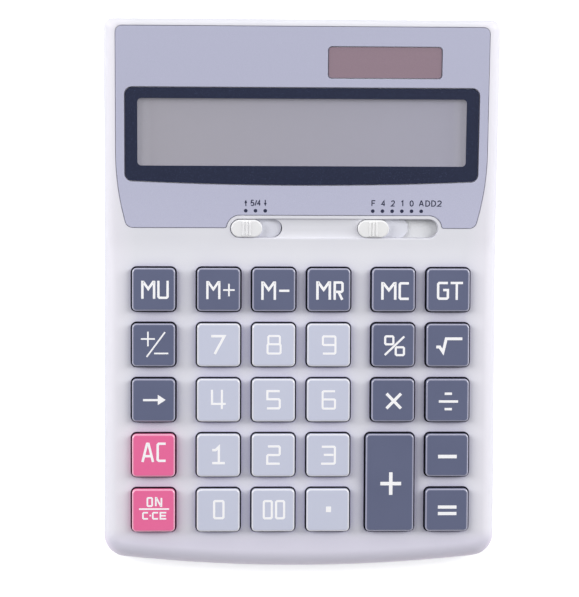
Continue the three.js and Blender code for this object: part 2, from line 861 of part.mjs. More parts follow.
function upperHousing() {
  const pinRoot = weldDepth - skin;
  const boardStakes = boardPins.map(([x, y]) =>
    onDeck(keyDeck, moved(stake(-weldDepth, seatGap - boardDepth, boardLow - seatGap), x, y, 0)));
  const guideStakes = guidePins.map((x) =>
    onDeck(displayDeck, moved(stake(pinRoot, guideTop + seatGap, guideLow - seatGap), x, switchLine, 0)));
  const frameStakes = framePins.map(([x, y]) =>
    onDeck(displayDeck, moved(stake(pinRoot, -skin, frameTop - earThickness - seatGap), x, y, 0)));
  const bosses = screwPlaces.map(([x, y]) =>
    moved(rod(bossRadius, shelfHigh + seatGap, deckHeight(y) - skin + weldDepth, smallSides), x, y, 0));
  const shell = join(
    upperShell(),
    ...boardStakes,
    ...guideStakes,
    ...frameStakes,
    ...bosses,
    onDeck(displayDeck, cellRib()),
  );
  const bores = screwPlaces.map(([x, y]) =>
    moved(rod(screwShankRadius + seatGap, 0, shelfLow + screwLength + seatGap, smallSides), x, y, 0));
  const wells = eachKey(({ x, y, width, length }) =>
    onDeck(keyDeck, wellTool(x, y, width + 2 * seatGap, length + 2 * seatGap)));
  const viewTool = block([-viewHalf - seatGap, viewHalf + seatGap], [viewLow - seatGap, viewHigh + seatGap],
    [-skin - weldDepth, 0]);
  const solarTool = prism(solarShape(-seatGap), -skin - weldDepth, 0);
  return cut(
    shell,
    ...bores,
    ...wells,
    onDeck(displayDeck, prism(plateShape(seatGap), -recessDepth, overrun)),
    onDeck(displayDeck, viewTool),
    onDeck(displayDeck, solarTool),
    onDeck(displayDeck, troughTool()),
    onDeck(displayDeck, slotTool(roundingKnobX, roundingTravel)),
    onDeck(displayDeck, slotTool(decimalKnobX, decimalTravel)),
  );
}

function lowerShell() {
  const roundShares = [[1, 0], [0.3, 0.3], [0, 1]];
  const outerRings = roundShares.map(([insetShare, riseShare]) =>
    ringAt(inset(fullOutline, insetShare * baseInset), () => footHeight + riseShare * baseRise));
  const outer = loft([...outerRings, ringAt(fullOutline, partingHeight)], ladderCap);
  const lipOutline = inset(fullOutline, wall + wallDraft + seatGap);
  const lip = loft(
    [ringAt(lipOutline, () => floorTop - weldDepth), ringAt(lipOutline, (y) => partingHeight(y) + lipRise)],
    ladderCap,
  );
  const hollow = inset(lipOutline, lipThickness);
  const cavity = loft(
    [ringAt(hollow, () => floorTop), ringAt(hollow, (y) => partingHeight(y) + overrun)],
    ladderCap,
  );
  return cut(join(outer, lip), cavity);
}

function lowerHousing() {
  const tubOuter = block(
    [tubLeft - tubWall, tubRight + tubWall],
    [batteryY - tubHalfY - tubWall, batteryY + tubHalfY + tubWall],
    [ceilingLow, tubTop + tubWall],
  );
  const ceiling = block(
    [coverLeft - coverTongue - ceilingMargin, coverRight + coverTongue + ceilingMargin],
    [coverFront - ceilingMargin, casingRear - wall],
    [floorTop - weldDepth, ceilingHigh],
  );
  const bosses = screwPlaces.map(([x, y]) =>
    moved(rod(lowerBossRadius, floorTop - weldDepth, shelfHigh, roundSides), x, y, 0));
  const body = join(lowerShell(), tubOuter, ceiling, ...bosses);
  const tubRoom = block([tubLeft, tubRight], [batteryY - tubHalfY, batteryY + tubHalfY], [0, tubTop]);
  const tabRoom = contactThickness + 2 * seatGap;
  const tabSlots = [tubLeft, tubRight - tabRoom].map((x) =>
    block([x, x + tabRoom], [batteryY - tabWidth / 2 - seatGap, batteryY + tabWidth / 2 + seatGap],
      [tubTop - weldDepth, tubTop + tubWall + weldDepth]));
  const coverRoom = block([coverLeft, coverRight], [coverFront - seatGap, casingRear + overrun],
    [0, ceilingLow]);
  const tongueRoom = block(
    [coverLeft - coverTongue, coverRight + coverTongue],
    [coverFront - seatGap, casingRear + overrun],
    [coverTop - coverTongueThickness - seatGap, ceilingLow],
  );
  const counters = screwPlaces.map(([x, y]) => moved(rod(counterRadius, 0, shelfLow, roundSides), x, y, 0));
  const holes = screwPlaces.map(([x, y]) =>
    moved(rod(screwShankRadius + seatGap, 0, shelfHigh + overrun, smallSides), x, y, 0));
  const pockets = footPlaces.map(([x, y]) =>
    moved(rod(footRadius + seatGap, 0, footHeight + footPocket, roundSides), x, y, 0));
  return cut(body, tubRoom, ...tabSlots, coverRoom, tongueRoom, ...counters, ...holes, ...pockets);
}

// Keys

// A hollow moulded cap: a bevelled top, a square flange that stops under the skin, and its posts.
function keyCap(width, length, posts) {
  const middleBlock = (w, l, low, high) => block([-w / 2, w / 2], [-l / 2, l / 2], [low, high]);
  const ring = (drawnIn, height) => {
    const radius = keyCornerRadius - drawnIn;
    const outline = roundedShape(width / 2 - drawnIn, length / 2 - drawnIn, radius);
    return shapeRing(outline, height, smallCornerSteps);
  };
  const flangeHigh = -skin - seatGap;
  const ceiling = keyRise - keyCeiling;
  const top = loft(
    [ring(0, flangeHigh - weldDepth), ring(0, keyRise - keyBevelDrop), ring(keyBevel, keyRise)],
    fanCap,
  );
  const flange = middleBlock(width + 2 * flangeReach, length + 2 * flangeReach, -keyBodyDepth, flangeHigh);
  const hollow = middleBlock(width - 2 * keyWall, length - 2 * keyWall, -keyBodyDepth - overrun, ceiling);
  const rods = posts.map((y) =>
    moved(middleBlock(keyPostSide, keyPostSide, domeTop + seatGap, ceiling + weldDepth), 0, y, 0));
  return join(cut(join(top, flange), hollow), ...rods);
}

function domePlaces() {
  return eachKey(({ name, x, y }) => {
    if (name === 'key_plus') {
      return plusPostShifts.map((shift) => [x, y + shift]);
    }
    return [[x, y]];
  }).flat();
}

// Slide switches

// A knob with a ribbed ridge, on the shutter plate that runs under the skin.
function slideKnob() {
  const half = knobLength / 2;
  const steps = curveSteps;
  const cap = loft(
    [
      shapeRing(slotShape(-half, half, 0, knobCap), shutterHigh - weldDepth, steps),
      shapeRing(slotShape(-half, half, 0, knobCap), knobRise - knobBevel, steps),
      shapeRing(slotShape(knobBevel - half, half - knobBevel, 0, knobCap - knobBevel), knobRise, steps),
    ],
    fanCap,
  );
  const outline = slotShape(-shutterHalf, shutterHalf, 0, shutterHalfWidth);
  const shutter = prism(outline, shutterLow, shutterHigh);
  const lug = block([-lugLength / 2, lugLength / 2], [0, shutterHalfWidth + lugReach],
    [shutterLow, shutterHigh]);
  const ribs = [];
  for (let i = 0; i < ribCount; i += 1) {
    const x = (i - (ribCount - 1) / 2) * ribPitch;
    const reach = knobCap - knobBevel;
    ribs.push(block([x - ribWidth / 2, x + ribWidth / 2], [-reach, reach], [0, knobRise + ribRise]));
  }
  return join(shutter, lug, cap, ...ribs);
}

// A bent spring leaf that hangs from the knob's lug and brushes the board's contacts.
function wiper() {
  const top = shutterLow - seatGap - wiperThickness / 2;
  const sink = boardTopAt(lugEdge) + seatGap + wiperThickness;
  const path = [
    [-wiperFoot, top],
    [0, top],
    [wiperFoot / 2, top - wiperThickness],
    [wiperFoot / 2, (top + sink) / 2],
    [0, sink],
    [-wiperFoot, sink + wiperThickness],
  ];
  const strip = prism(stripShape(path, wiperThickness, stripSteps), -wiperWidth / 2, wiperWidth / 2);
  return strip.rotateX(Math.PI / 2);
}

// Where the tilted circuit board's top lies in the display deck's frame.
function boardTopAt(y) {
  const turn = displaySlope - keySlope;
  return (-boardDepth - y * Math.sin(turn)) / Math.cos(turn);
}

function switchGuide() {
  const floor = block([guideLeft, guideRight], [guideFront, guideRear], [guideLow, guideTop]);
  const railHigh = -skin - seatGap;
  const rail = block([guideLeft, guideRight], [guideFront, guideFront + guideRail], [guideLow, railHigh]);
  const holes = guidePins.map((x) =>
    moved(rod(pinRadius + seatGap, guideLow - overrun, guideTop + weldDepth, pinSides), x, switchLine, 0));
  const stops = [guideLeft, guideRight - guideRail].map((x) =>
    block([x, x + guideRail], [guideFront, guideRear], [guideLow, railHigh]));
  return cut(join(floor, rail, ...stops), ...holes);
}

// Display and solar parts

function faceplate() {
  const plate = prism(plateShape(0), plateBottomFace, plateProud);
  const low = plateBottomFace - weldDepth;
  const high = plateProud + weldDepth;
  return cut(plate, prism(windowShape(glassGap), low, high), prism(solarShape(glassGap), low, high));
}

function lcdPanel() {
  const front = block([-panelHalf, panelHalf], [panelLow, panelHigh], [panelTop - displayGlass, panelTop]);
  const back = block([-panelHalf, panelHalf], [panelLow - displayLedge, panelHigh],
    [panelBottom, panelTop - displayGlass + weldDepth]);
  const ledge = block([-panelHalf, panelHalf], [panelLow - displayLedge - overrun, panelLow],
    [panelTop - displayGlass, panelTop]);
  return cut(join(front, back), ledge);
}

function lcdFrame() {
  const outline = panelShape(-frameHalf, frameHalf, frameFront, frameRear, frameWall);
  const outer = prism(outline, frameBottom, frameTop, smallCornerSteps);
  const earLow = frameTop - earThickness;
  const ears = framePins.flatMap(([x, y]) => [
    moved(rod(earRadius, earLow, frameTop, smallSides), x, y, 0),
    block([x - earRadius, x + earRadius],
      y < frameFront ? [y, frameFront + weldDepth] : [frameRear - weldDepth, y],
      [earLow, frameTop]),
  ]);
  const room = block([-panelHalf - seatGap, panelHalf + seatGap],
    [panelLow - displayLedge - seatGap, panelHigh + seatGap], [frameFloorTop, overrun]);
  const ribbonSlot = block(
    [ribbonX - ribbonWidth / 2 - seatGap, ribbonX + ribbonWidth / 2 + seatGap],
    [frameFront - overrun, panelLow + displayLedge],
    [frameBottom - overrun, frameTop - displayGlass - seatGap],
  );
  const holes = framePins.map(([x, y]) =>
    moved(rod(pinRadius + seatGap, frameBottom, 0, pinSides), x, y, 0));
  return cut(join(outer, ...ears), room, ribbonSlot, ...holes);
}

// The flat connector from the display glass down to the circuit board.
function displayRibbon() {
  const landing = (y) => [y, boardTopAt(y) + seatGap + ribbonThickness];
  const [, lift] = landing(boardPastRidge);
  const start = panelBottom - seatGap / 2 - ribbonThickness;
  const path = [
    [panelLow + displayLedge / 2, start],
    [panelLow - displayLedge, start],
    [frameFront - displayLedge, start - displayGlass],
    [boardPastRidge, lift + ribbonThickness],
    landing(boardPastRidge - displayLedge),
    landing(boardPastRidge - 2 * displayLedge),
  ];
  const strip = prism(stripShape(path, ribbonThickness, stripSteps), ribbonX - ribbonWidth / 2,
    ribbonX + ribbonWidth / 2);
  const across = new THREE.Matrix4().makeBasis(
    new THREE.Vector3(0, 1, 0),
    new THREE.Vector3(0, 0, 1),
    new THREE.Vector3(1, 0, 0),
  );
  return strip.applyMatrix4(across);
}

function solarCell() {
  const top = -skin - seatGap;
  return prism(solarShape(cellMargin), top - cellThickness, top, smallCornerSteps);
}

// Circuit board and keypad

function circuitBoard() {
  const outline = panelShape(-boardHalf, boardHalf, boardFront, boardPastRidge, boardRadius);
  const plate = prism(outline, boardLow, -boardDepth);
  const chip = turned(
    [[0, boardLow - chipRise], [chipRadius / 2, boardLow - chipRise], [chipRadius, boardLow + weldDepth],
      [0, boardLow + weldDepth]],
    smallSides,
  );
  const holes = boardPins.map(([x, y]) =>
    moved(rod(pinRadius + seatGap, boardLow - overrun, 0, pinSides), x, y, 0));
  const bossRooms = screwPlaces.filter(([, y]) => y < 0).map(([x, y]) => {
    const centre = new THREE.Vector3(x, y, deckHeight(y) - boardDepth);
    centre.applyMatrix4(keyDeck.matrix.clone().invert());
    return moved(rod(bossRadius + bossWall, boardLow - overrun, 0, smallSides), centre.x, centre.y, 0);
  });
  return cut(join(plate, moved(chip, chipX, rowY[0] - chipSetback, 0)), ...holes, ...bossRooms);
}

function rubberKeypad() {
  const half = casingHalf - keySideMargin + flangeSide / 2 + padMargin;
  const low = rowY[rowCount - 1] - flangeSide / 2 - padMargin;
  const high = rowY[0] + flangeSide / 2 + padMargin;
  const padLow = padTop - padThickness;
  const sheet = prism(panelShape(-half, half, low, high, padRadius), padLow, padTop);
  const cavityTop = domeTop - domeWall;
  const dome = turned(
    [[0, padLow + weldDepth], [domeBaseRadius, padLow + weldDepth], [domeBaseRadius, padTop],
      [domeTopRadius, domeTop], [0, domeTop]],
    pinSides,
  );
  const hollow = turned(
    [[0, padLow - weldDepth], [domeBaseRadius - domeWall, padLow - weldDepth],
      [domeTopRadius - domeWall, cavityTop], [0, cavityTop]],
    pinSides,
  );
  const places = domePlaces();
  const domes = places.map(([x, y]) => moved(dome, x, y, 0));
  const hollows = places.map(([x, y]) => moved(hollow, x, y, 0));
  const holes = boardPins.filter(([x]) => Math.abs(x) < half).map(([x, y]) =>
    moved(rod(pillarRadius + seatGap, padLow - overrun, overrun, smallSides), x, y, 0));
  return cut(join(sheet, ...domes), ...hollows, ...holes);
}

// Battery

function battery() {
  const bodyEnd = batteryLength - nibLength;
  const profile = [
    [0, 0],
    [batteryRadius, 0],
    [batteryRadius, bodyEnd],
    [nibRadius, bodyEnd],
    [nibRadius, batteryLength],
    [0, batteryLength],
  ];
  return turned(profile, roundSides).rotateY(Math.PI / 2).translate(-batteryLength / 2, 0, 0);
}

function contactPlate() {
  const half = contactSide / 2;
  const leaf = block([0, contactThickness], [-half, half], [-half, half]);
  const tab = block([0, contactThickness], [-tabWidth / 2, tabWidth / 2], [0, tabTop() - batteryZ]);
  return join(leaf, tab);
}

function tabTop() {
  return tubTop + tubWall + tabRise;
}

// A coil that starts on its contact leaf and ends just short of the cell.
function batterySpring() {
  const points = [];
  const count = springTurns * springTurnSteps;
  const pitch = springLength - 2 * springWireRadius;
  for (let i = 0; i <= count; i += 1) {
    const angle = (2 * Math.PI * i) / springTurnSteps;
    const x = contactThickness + springWireRadius / 2 + (pitch * i) / count;
    points.push(new THREE.Vector3(x, springRadius * Math.cos(angle), springRadius * Math.sin(angle)));
  }
  const section = new THREE.Shape();
  section.absarc(0, 0, springWireRadius, 0, 2 * Math.PI);
  const coil = new THREE.ExtrudeGeometry(section, {
    steps: count,
    curveSegments: springSteps,
    bevelEnabled: false,
    extrudePath: new THREE.CatmullRomCurve3(points),
  });
  return join(contactPlate(), coil);
}

// The sliding cover, with side tongues and finger grooves on its outer face.
function batteryCover() {
  const plate = block([coverLeft + seatGap, coverRight - seatGap], [coverFront, coverRear],
    [footHeight, coverTop]);
  const tongues = block(
    [coverLeft - coverTongue + seatGap, coverRight + coverTongue - seatGap],
    [coverFront, coverRear],
    [coverTop - coverTongueThickness, coverTop],
  );
  const middle = (coverLeft + coverRight) / 2;
  const grooves = [];
  for (let i = 0; i < gripCount; i += 1) {
    const y = coverFront + gripSetback + i * gripPitch;
    grooves.push(block([middle - gripLength / 2, middle + gripLength / 2],
      [y - gripWidth / 2, y + gripWidth / 2], [0, footHeight + gripDepth]));
  }
  return cut(join(plate, tongues), ...grooves);
}

// Fasteners, feet and leads

function caseScrew() {
  const headLow = shelfLow - seatGap - screwHeadRise;
  const profile = [
    [0, headLow],
    [screwHeadRadius, headLow],
    [screwHeadRadius, headLow + screwHeadRise],
    [screwShankRadius, headLow + screwHeadRise],
    [screwShankRadius, headLow + screwHeadRise + screwLength],
    [0, headLow + screwHeadRise + screwLength + seatGap],
  ];
  return turned(profile, smallSides);
}

function foot() {
  const top = footHeight + footPocket - seatGap;
  const profile = [
    [0, 0],
    [footRadius - footChamfer, 0],
    [footRadius, footChamfer],
    [footRadius, top],
    [0, top],
  ];
  return turned(profile, roundSides);
}

function lead(points) {
  const section = new THREE.Shape();
  section.absarc(0, 0, leadRadius, 0, 2 * Math.PI);
  return new THREE.ExtrudeGeometry(section, {
    steps: leadSteps,
    curveSegments: leadSectionSteps,
    bevelEnabled: false,
    extrudePath: new THREE.CatmullRomCurve3(points),
  });
}

function deckPoint(deck, x, y, z) {
  return new THREE.Vector3(x, y, z).applyMatrix4(deck.matrix);
}

// From a contact tab above the battery to its joint on the underside of the board.
function batteryLead(tabX, jointX) {
  const boardEnd = boardLow - seatGap - leadRadius;
  const besideTab = batteryY - tabWidth / 2 - seatGap - leadRadius;
  const start = new THREE.Vector3(tabX, besideTab, tabTop() - leadRadius);
  const landing = deckPoint(keyDeck, jointX, boardPastRidge - displayLedge, boardEnd);
  const approach = deckPoint(keyDeck, jointX, boardPastRidge + displayLedge, boardEnd);
  const dip = start.clone().lerp(approach, 1 / 2);
  dip.z = Math.min(start.z, approach.z);
  const leave = start.clone().setY(batteryY - tubHalfY - tubWall - 2 * leadRadius);
  return lead([start, leave, dip, approach, landing]);
}

function solarLead() {
  const boardEnd = boardLow - seatGap - leadRadius;
  const cellBack = -skin - 2 * seatGap - cellThickness - leadRadius;
  const x = solarLeadX;
  const underFrame = frameBottom - 2 * leadRadius - seatGap;
  return lead([
    deckPoint(displayDeck, x, solarHigh - solarRadius, cellBack),
    deckPoint(displayDeck, x, solarLow + solarRadius, cellBack),
    deckPoint(displayDeck, x, frameRear, underFrame),
    deckPoint(displayDeck, x, frameFront, underFrame),
    deckPoint(keyDeck, x, boardPastRidge + displayLedge, boardEnd),
    deckPoint(keyDeck, x, boardPastRidge - displayLedge, boardEnd),
  ]);
}

// Assembly

function piece(name, shape, finish, place = [0, 0, 0]) {
  const mesh = new THREE.Mesh(geometryOf(shape), new THREE.MeshStandardMaterial(finishes[finish]));
  mesh.name = name;
  mesh.position.set(...place);
  return mesh;
}

function keyFinish(name) {
  if (name === 'key_ac' || name === 'key_on') {
    return 'rose';
  }
  return /^key_(\d+|point)$/.test(name) ? 'pale' : 'slate';
}

const calculator = new THREE.Group();
calculator.add(keyDeck, displayDeck);

calculator.add(piece('upper_housing', upperHousing(), 'shell'));
calculator.add(piece('lower_housing', lowerHousing(), 'shell'));

eachKey(({ name, x, y, width, length }) => {
  const posts = name === 'key_plus' ? plusPostShifts : [0];
  keyDeck.add(piece(name, keyCap(width, length, posts), keyFinish(name), [x, y, 0]));
});
keyDeck.add(piece('rubber_keypad', rubberKeypad(), 'rubber'));
keyDeck.add(piece('circuit_board', circuitBoard(), 'board'));

displayDeck.add(piece('faceplate', faceplate(), 'plate'));
displayDeck.add(piece('display_window', prism(windowShape(0), plateBottomFace, -windowSunk), 'navy'));
displayDeck.add(piece('solar_window', prism(solarShape(0), plateBottomFace, -windowSunk), 'solar'));
displayDeck.add(piece('lcd_panel', lcdPanel(), 'display'));
displayDeck.add(piece('lcd_frame', lcdFrame(), 'guide'));
displayDeck.add(piece('display_ribbon', displayRibbon(), 'ribbon'));
displayDeck.add(piece('solar_cell', solarCell(), 'cell'));
displayDeck.add(piece('switch_guide', switchGuide(), 'guide'));
for (const [name, x] of [['rounding', roundingKnobX], ['decimal', decimalKnobX]]) {
  displayDeck.add(piece(`${name}_switch`, slideKnob(), 'knob', [x, switchLine, 0]));
  displayDeck.add(piece(`${name}_wiper`, wiper(), 'steel', [x, lugEdge - wiperWidth / 2, 0]));
}

const springX = tubLeft + seatGap;
const plateX = tubRight - seatGap - contactThickness;
calculator.add(piece('battery', battery(), 'cell', [batteryX, batteryY, batteryZ]));
calculator.add(piece('battery_spring', batterySpring(), 'steel', [springX, batteryY, batteryZ]));
calculator.add(piece('battery_plate', contactPlate(), 'steel', [plateX, batteryY, batteryZ]));
calculator.add(piece('battery_cover', batteryCover(), 'shell'));
const plateTab = plateX + contactThickness / 2;
const springTab = springX + contactThickness / 2;
calculator.add(piece('positive_lead', batteryLead(plateTab, solarLeadX + leadPitch), 'lead'));
calculator.add(piece('negative_lead', batteryLead(springTab, springTab / 2), 'foot'));
calculator.add(piece('solar_lead', solarLead(), 'lead'));

screwPlaces.forEach(([x, y], i) => {
  calculator.add(piece(`case_screw_${i + 1}`, caseScrew(), 'steel', [x, y, 0]));
});
footPlaces.forEach(([x, y], i) => {
  calculator.add(piece(`foot_${i + 1}`, foot(), 'foot', [x, y, 0]));
});

export default calculator;
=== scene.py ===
# %% [markdown]
# # A desktop calculator, modelled piece by piece
#
# The CAD model of the calculator is the fixed frame of this scene. It says where every piece
# is and how it moves. Blender adds what the CAD leaves plain: soft moulded edges, printed
# legends, and finishes such as satin plastic, rubber and glass.
#
# The first cell loads that frame and keeps its size, so that the last cell can show that the
# finished model is no bigger.

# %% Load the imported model
import math

import bpy
from mathutils import Matrix, Vector


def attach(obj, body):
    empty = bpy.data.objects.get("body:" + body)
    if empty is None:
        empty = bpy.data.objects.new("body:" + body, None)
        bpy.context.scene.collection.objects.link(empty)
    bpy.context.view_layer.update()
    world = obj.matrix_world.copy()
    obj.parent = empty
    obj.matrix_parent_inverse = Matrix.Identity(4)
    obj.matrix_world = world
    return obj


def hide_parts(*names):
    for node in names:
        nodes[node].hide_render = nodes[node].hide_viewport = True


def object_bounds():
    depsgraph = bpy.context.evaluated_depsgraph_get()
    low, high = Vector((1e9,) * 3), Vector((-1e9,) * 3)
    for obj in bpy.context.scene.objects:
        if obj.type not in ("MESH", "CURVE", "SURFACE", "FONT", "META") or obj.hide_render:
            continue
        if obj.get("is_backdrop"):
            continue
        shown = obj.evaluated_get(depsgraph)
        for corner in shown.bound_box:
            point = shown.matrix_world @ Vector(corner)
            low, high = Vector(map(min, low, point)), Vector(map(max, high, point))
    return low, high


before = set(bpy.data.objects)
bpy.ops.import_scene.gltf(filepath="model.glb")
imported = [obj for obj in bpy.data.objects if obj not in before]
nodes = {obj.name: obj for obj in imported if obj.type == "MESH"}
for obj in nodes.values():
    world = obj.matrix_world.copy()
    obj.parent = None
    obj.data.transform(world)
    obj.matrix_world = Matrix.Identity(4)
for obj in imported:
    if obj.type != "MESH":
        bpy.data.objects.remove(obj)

cad_low, cad_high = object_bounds()
print("CAD size in mm:", [round(1000 * side, 2) for side in cad_high - cad_low])

# %% [markdown]
# ## Two tilted decks
#
# The top of the casing is two flat decks that meet at a soft ridge: the keys stand on the
# front one, and the display lies on the steeper rear one. Each deck gets a frame of its own,
# in millimetres, with x to the right, y up the slope from the ridge and z square to the deck.
# A matrix then carries a finished piece from its deck to its place in metres, so that a key
# is modelled flat and still stands square on its slope.

# %% Deck frames
MM = 0.001
ridge_y = 16.9905
ridge_z = 21.1808
key_slope = math.radians(4.5)
display_slope = math.radians(11)

table_frame = Matrix.Scale(MM, 4)
ridge_point = Matrix.Translation((0, ridge_y, ridge_z))
key_tilt = ridge_point @ Matrix.Rotation(key_slope, 4, "X")
display_tilt = ridge_point @ Matrix.Rotation(display_slope, 4, "X")
key_deck = table_frame @ key_tilt
display_deck = table_frame @ display_tilt
print("ridge at", tuple(round(value, 4) for value in key_deck.translation))

# %% [markdown]
# ## Camera
#
# The photograph looks almost straight down from about 0.8 m, a little to the left of the
# middle. The place, the turn and the lens were fitted to the corners of the keys and of the
# faceplate. A long lens keeps the sides of the casing nearly hidden.

# %% Camera
camera_data = bpy.data.cameras.new("camera")
camera_data.sensor_width = 36
camera_data.lens = 131.006
camera = bpy.data.objects.new("camera", camera_data)
camera.location = (-0.0359605, -0.0192361, 0.790)
camera.rotation_euler = (0.0235256, -0.0413578, 0.000745687)
bpy.context.scene.collection.objects.link(camera)
bpy.context.scene.camera = camera
bpy.context.scene.view_settings.view_transform = "Standard"
print("lens", round(camera_data.lens, 1), "mm")

# %% [markdown]
# ## Shader maths as plain expressions
#
# A material in Blender is a graph of nodes, which is slow to read as code. The small class
# below wraps one output socket, so that `1 - mask` or `height * 0.5` adds the Math node that
# it needs. The `Finish` class holds one material and its main shader. Its `node` method adds
# any other node: settings come first, because they can change which sockets the node has.

# %% Sockets and finishes
class Sock:
    """One output socket of a finish, usable in sums."""

    def __init__(self, finish, socket):
        self.finish = finish
        self.socket = socket

    def calc(self, operation, first, second):
        return self.finish.node("ShaderNodeMath", {"operation": operation}, {0: first, 1: second})

    def __add__(self, other):
        return self.calc("ADD", self, other)

    __radd__ = __add__

    def __mul__(self, other):
        return self.calc("MULTIPLY", self, other)

    __rmul__ = __mul__

    def __sub__(self, other):
        return self.calc("SUBTRACT", self, other)

    def __rsub__(self, other):
        return self.calc("SUBTRACT", other, self)

    def __abs__(self):
        return self.calc("ABSOLUTE", self, 0)

    def __gt__(self, other):
        return self.calc("GREATER_THAN", self, other)

    def __lt__(self, other):
        return self.calc("LESS_THAN", self, other)


class Finish:
    """A material, its main shader, and one way to add any other node."""

    def __init__(self, name, colour, **constants):
        self.material = bpy.data.materials.new(name)
        self.material.use_nodes = True
        self.tree = self.material.node_tree
        self.shader = self.tree.nodes["Principled BSDF"]
        self.wear("Base Color", colour)
        for socket, value in constants.items():
            self.wear(socket.replace("_", " ").title(), value)

    def wear(self, socket, value):
        self.feed(self.shader.inputs[socket], value)

    def feed(self, socket, value):
        if isinstance(value, Sock):
            self.tree.links.new(value.socket, socket)
        else:
            socket.default_value = value

    def node(self, kind, settings=None, sockets=None, output=0):
        made = self.tree.nodes.new(kind)
        for name, value in (settings or {}).items():
            setattr(made, name, value)
        for name, value in (sockets or {}).items():
            self.feed(made.inputs[name], value)
        return Sock(self, made.outputs[output])


def tint(red, green, blue):
    """A colour given as on a screen, from 0 to 255, as the linear values that shaders use."""
    def linear(value):
        share = value / 255
        return share / 12.92 if share <= 0.04045 else ((share + 0.055) / 1.055) ** 2.4
    return (linear(red), linear(green), linear(blue), 1)


print("mid grey is", [round(value, 3) for value in tint(128, 128, 128)])

# %% [markdown]
# ## The patterns that the finishes share
#
# Moulded plastic is never quite even: its colour drifts a little, its gloss varies, and the
# mould leaves a fine texture. All of these come from noise that is measured in millimetres on
# the object itself, so the grain has its real size on every piece.

# %% Shared patterns
gloss_range = 0.12


def spot(finish):
    """Where a point lies on the object, in metres."""
    return finish.node("ShaderNodeTexCoord", output="Object")


def along(finish, axis):
    """How far a point lies along x, where axis is 0, or y, where it is 1, in metres."""
    return finish.node("ShaderNodeSeparateXYZ", None, {0: spot(finish)}, output=axis)


def noise(finish, size, detail=2):
    """Smooth noise from 0 to 1 whose patches are about as big as size, in millimetres."""
    sockets = {"Vector": spot(finish), "Scale": 1 / (size * MM), "Detail": detail}
    return finish.node("ShaderNodeTexNoise", None, sockets)


def blend(finish, mask, first, second):
    """The first colour where the mask is 0 and the second where it is 1."""
    settings = {"data_type": "RGBA"}
    return finish.node("ShaderNodeMix", settings, {0: mask, 6: first, 7: second}, output=2)


def ramp(finish, value, low, high):
    """0 where the value is at low, 1 where it is at high, and an even rise between."""
    sockets = {"Value": value, "From Min": low, "From Max": high}
    return finish.node("ShaderNodeMapRange", {"clamp": True}, sockets)


def mottled(finish, pattern, first, second):
    """Two colours in patches, with soft borders where the noise is near its middle."""
    return blend(finish, ramp(finish, pattern, 0.3, 0.7), first, second)


def grained(finish, height, depth):
    """Raises the surface by up to depth millimetres where the height is 1."""
    sockets = {"Strength": 1, "Distance": depth * MM, "Height": height}
    finish.wear("Normal", finish.node("ShaderNodeBump", None, sockets))


def moulded(name, colour, shade, roughness, texture_size=0.35, texture_depth=0.004, drift=18):
    """Satin moulded plastic: a slow drift to a second shade, uneven gloss and a fine texture."""
    finish = Finish(name, colour)
    texture = noise(finish, texture_size, 3)
    finish.wear("Base Color", mottled(finish, noise(finish, drift), colour, shade))
    finish.wear("Roughness", texture * gloss_range + (roughness - gloss_range / 2))
    grained(finish, texture, texture_depth)
    return finish


shell_plastic = moulded("shell_plastic", tint(208, 208, 218), tint(204, 204, 215), 0.45)
knob_plastic = moulded("knob_plastic", tint(255, 255, 255), tint(252, 252, 255), 0.34, 0.25, 0.002)
shutter_plastic = moulded("shutter_plastic", tint(245, 246, 255), tint(242, 243, 253), 0.45)
inner_plastic = moulded("inner_plastic", tint(252, 253, 255), tint(248, 249, 253), 0.55)
plain_plastics = (shell_plastic, knob_plastic, shutter_plastic, inner_plastic)
print("plastics:", *(finish.material.name for finish in plain_plastics))

# %% [markdown]
# The keys have fine-textured flat tops, but the mould is smoother where the edges roll over,
# so the surface is glossier there, and a paler colour is painted on as a painted highlight.
# Below the surface of the deck, in the gap round each key, its sides are painted nearly black
# as painted shade. How far a point's surface leans away from the deck tells the shader where
# the rolled edge is: straight up on the flat top, and steeper and steeper down the edge.

# %% Key plastics
deck_up = (0, -math.sin(key_slope), math.cos(key_slope))


def square_to_deck(finish, vector):
    """How far a vector reaches along the line that stands square to the key deck."""
    settings, sockets = {"operation": "DOT_PRODUCT"}, {0: vector, 1: deck_up}
    return finish.node("ShaderNodeVectorMath", settings, sockets, output="Value")


def lean(finish):
    """1 where the surface lies flat on the key deck, and 0 where it stands upright."""
    return square_to_deck(finish, finish.node("ShaderNodeNewGeometry", output="Normal"))


def depth_below(finish):
    """How far a point lies below the surface of the key deck, in metres."""
    from_ridge = {0: spot(finish), 1: (0, ridge_y * MM, ridge_z * MM)}
    offset = finish.node("ShaderNodeVectorMath", {"operation": "SUBTRACT"}, from_ridge)
    return 0 - square_to_deck(finish, offset)


def key_plastic_finish(name, colour, shade, highlight_colour, gap_shade_colour):
    finish = Finish(name, colour, coat_roughness=0.16)
    texture = noise(finish, 0.25, 3)
    body = mottled(finish, noise(finish, 18), colour, shade)
    tilt = lean(finish)
    rolled_edge = ramp(finish, tilt, 0.985, 0.88) * ramp(finish, tilt, 0.25, 0.55)
    # Painted highlight: the rolled edge gets a paler colour.
    with_highlight = blend(finish, rolled_edge, body, highlight_colour)
    # Painted shade: below the deck's surface the key sides turn nearly black, as in the gap.
    gap_shade_mask = ramp(finish, depth_below(finish), -0.5 * MM, 0.1 * MM)
    finish.wear("Base Color", blend(finish, gap_shade_mask, with_highlight, gap_shade_colour))
    finish.wear("Roughness", texture * gloss_range + 0.3 - rolled_edge * 0.1)
    finish.wear("Coat Weight", rolled_edge)
    grained(finish, texture, 0.003)
    return finish
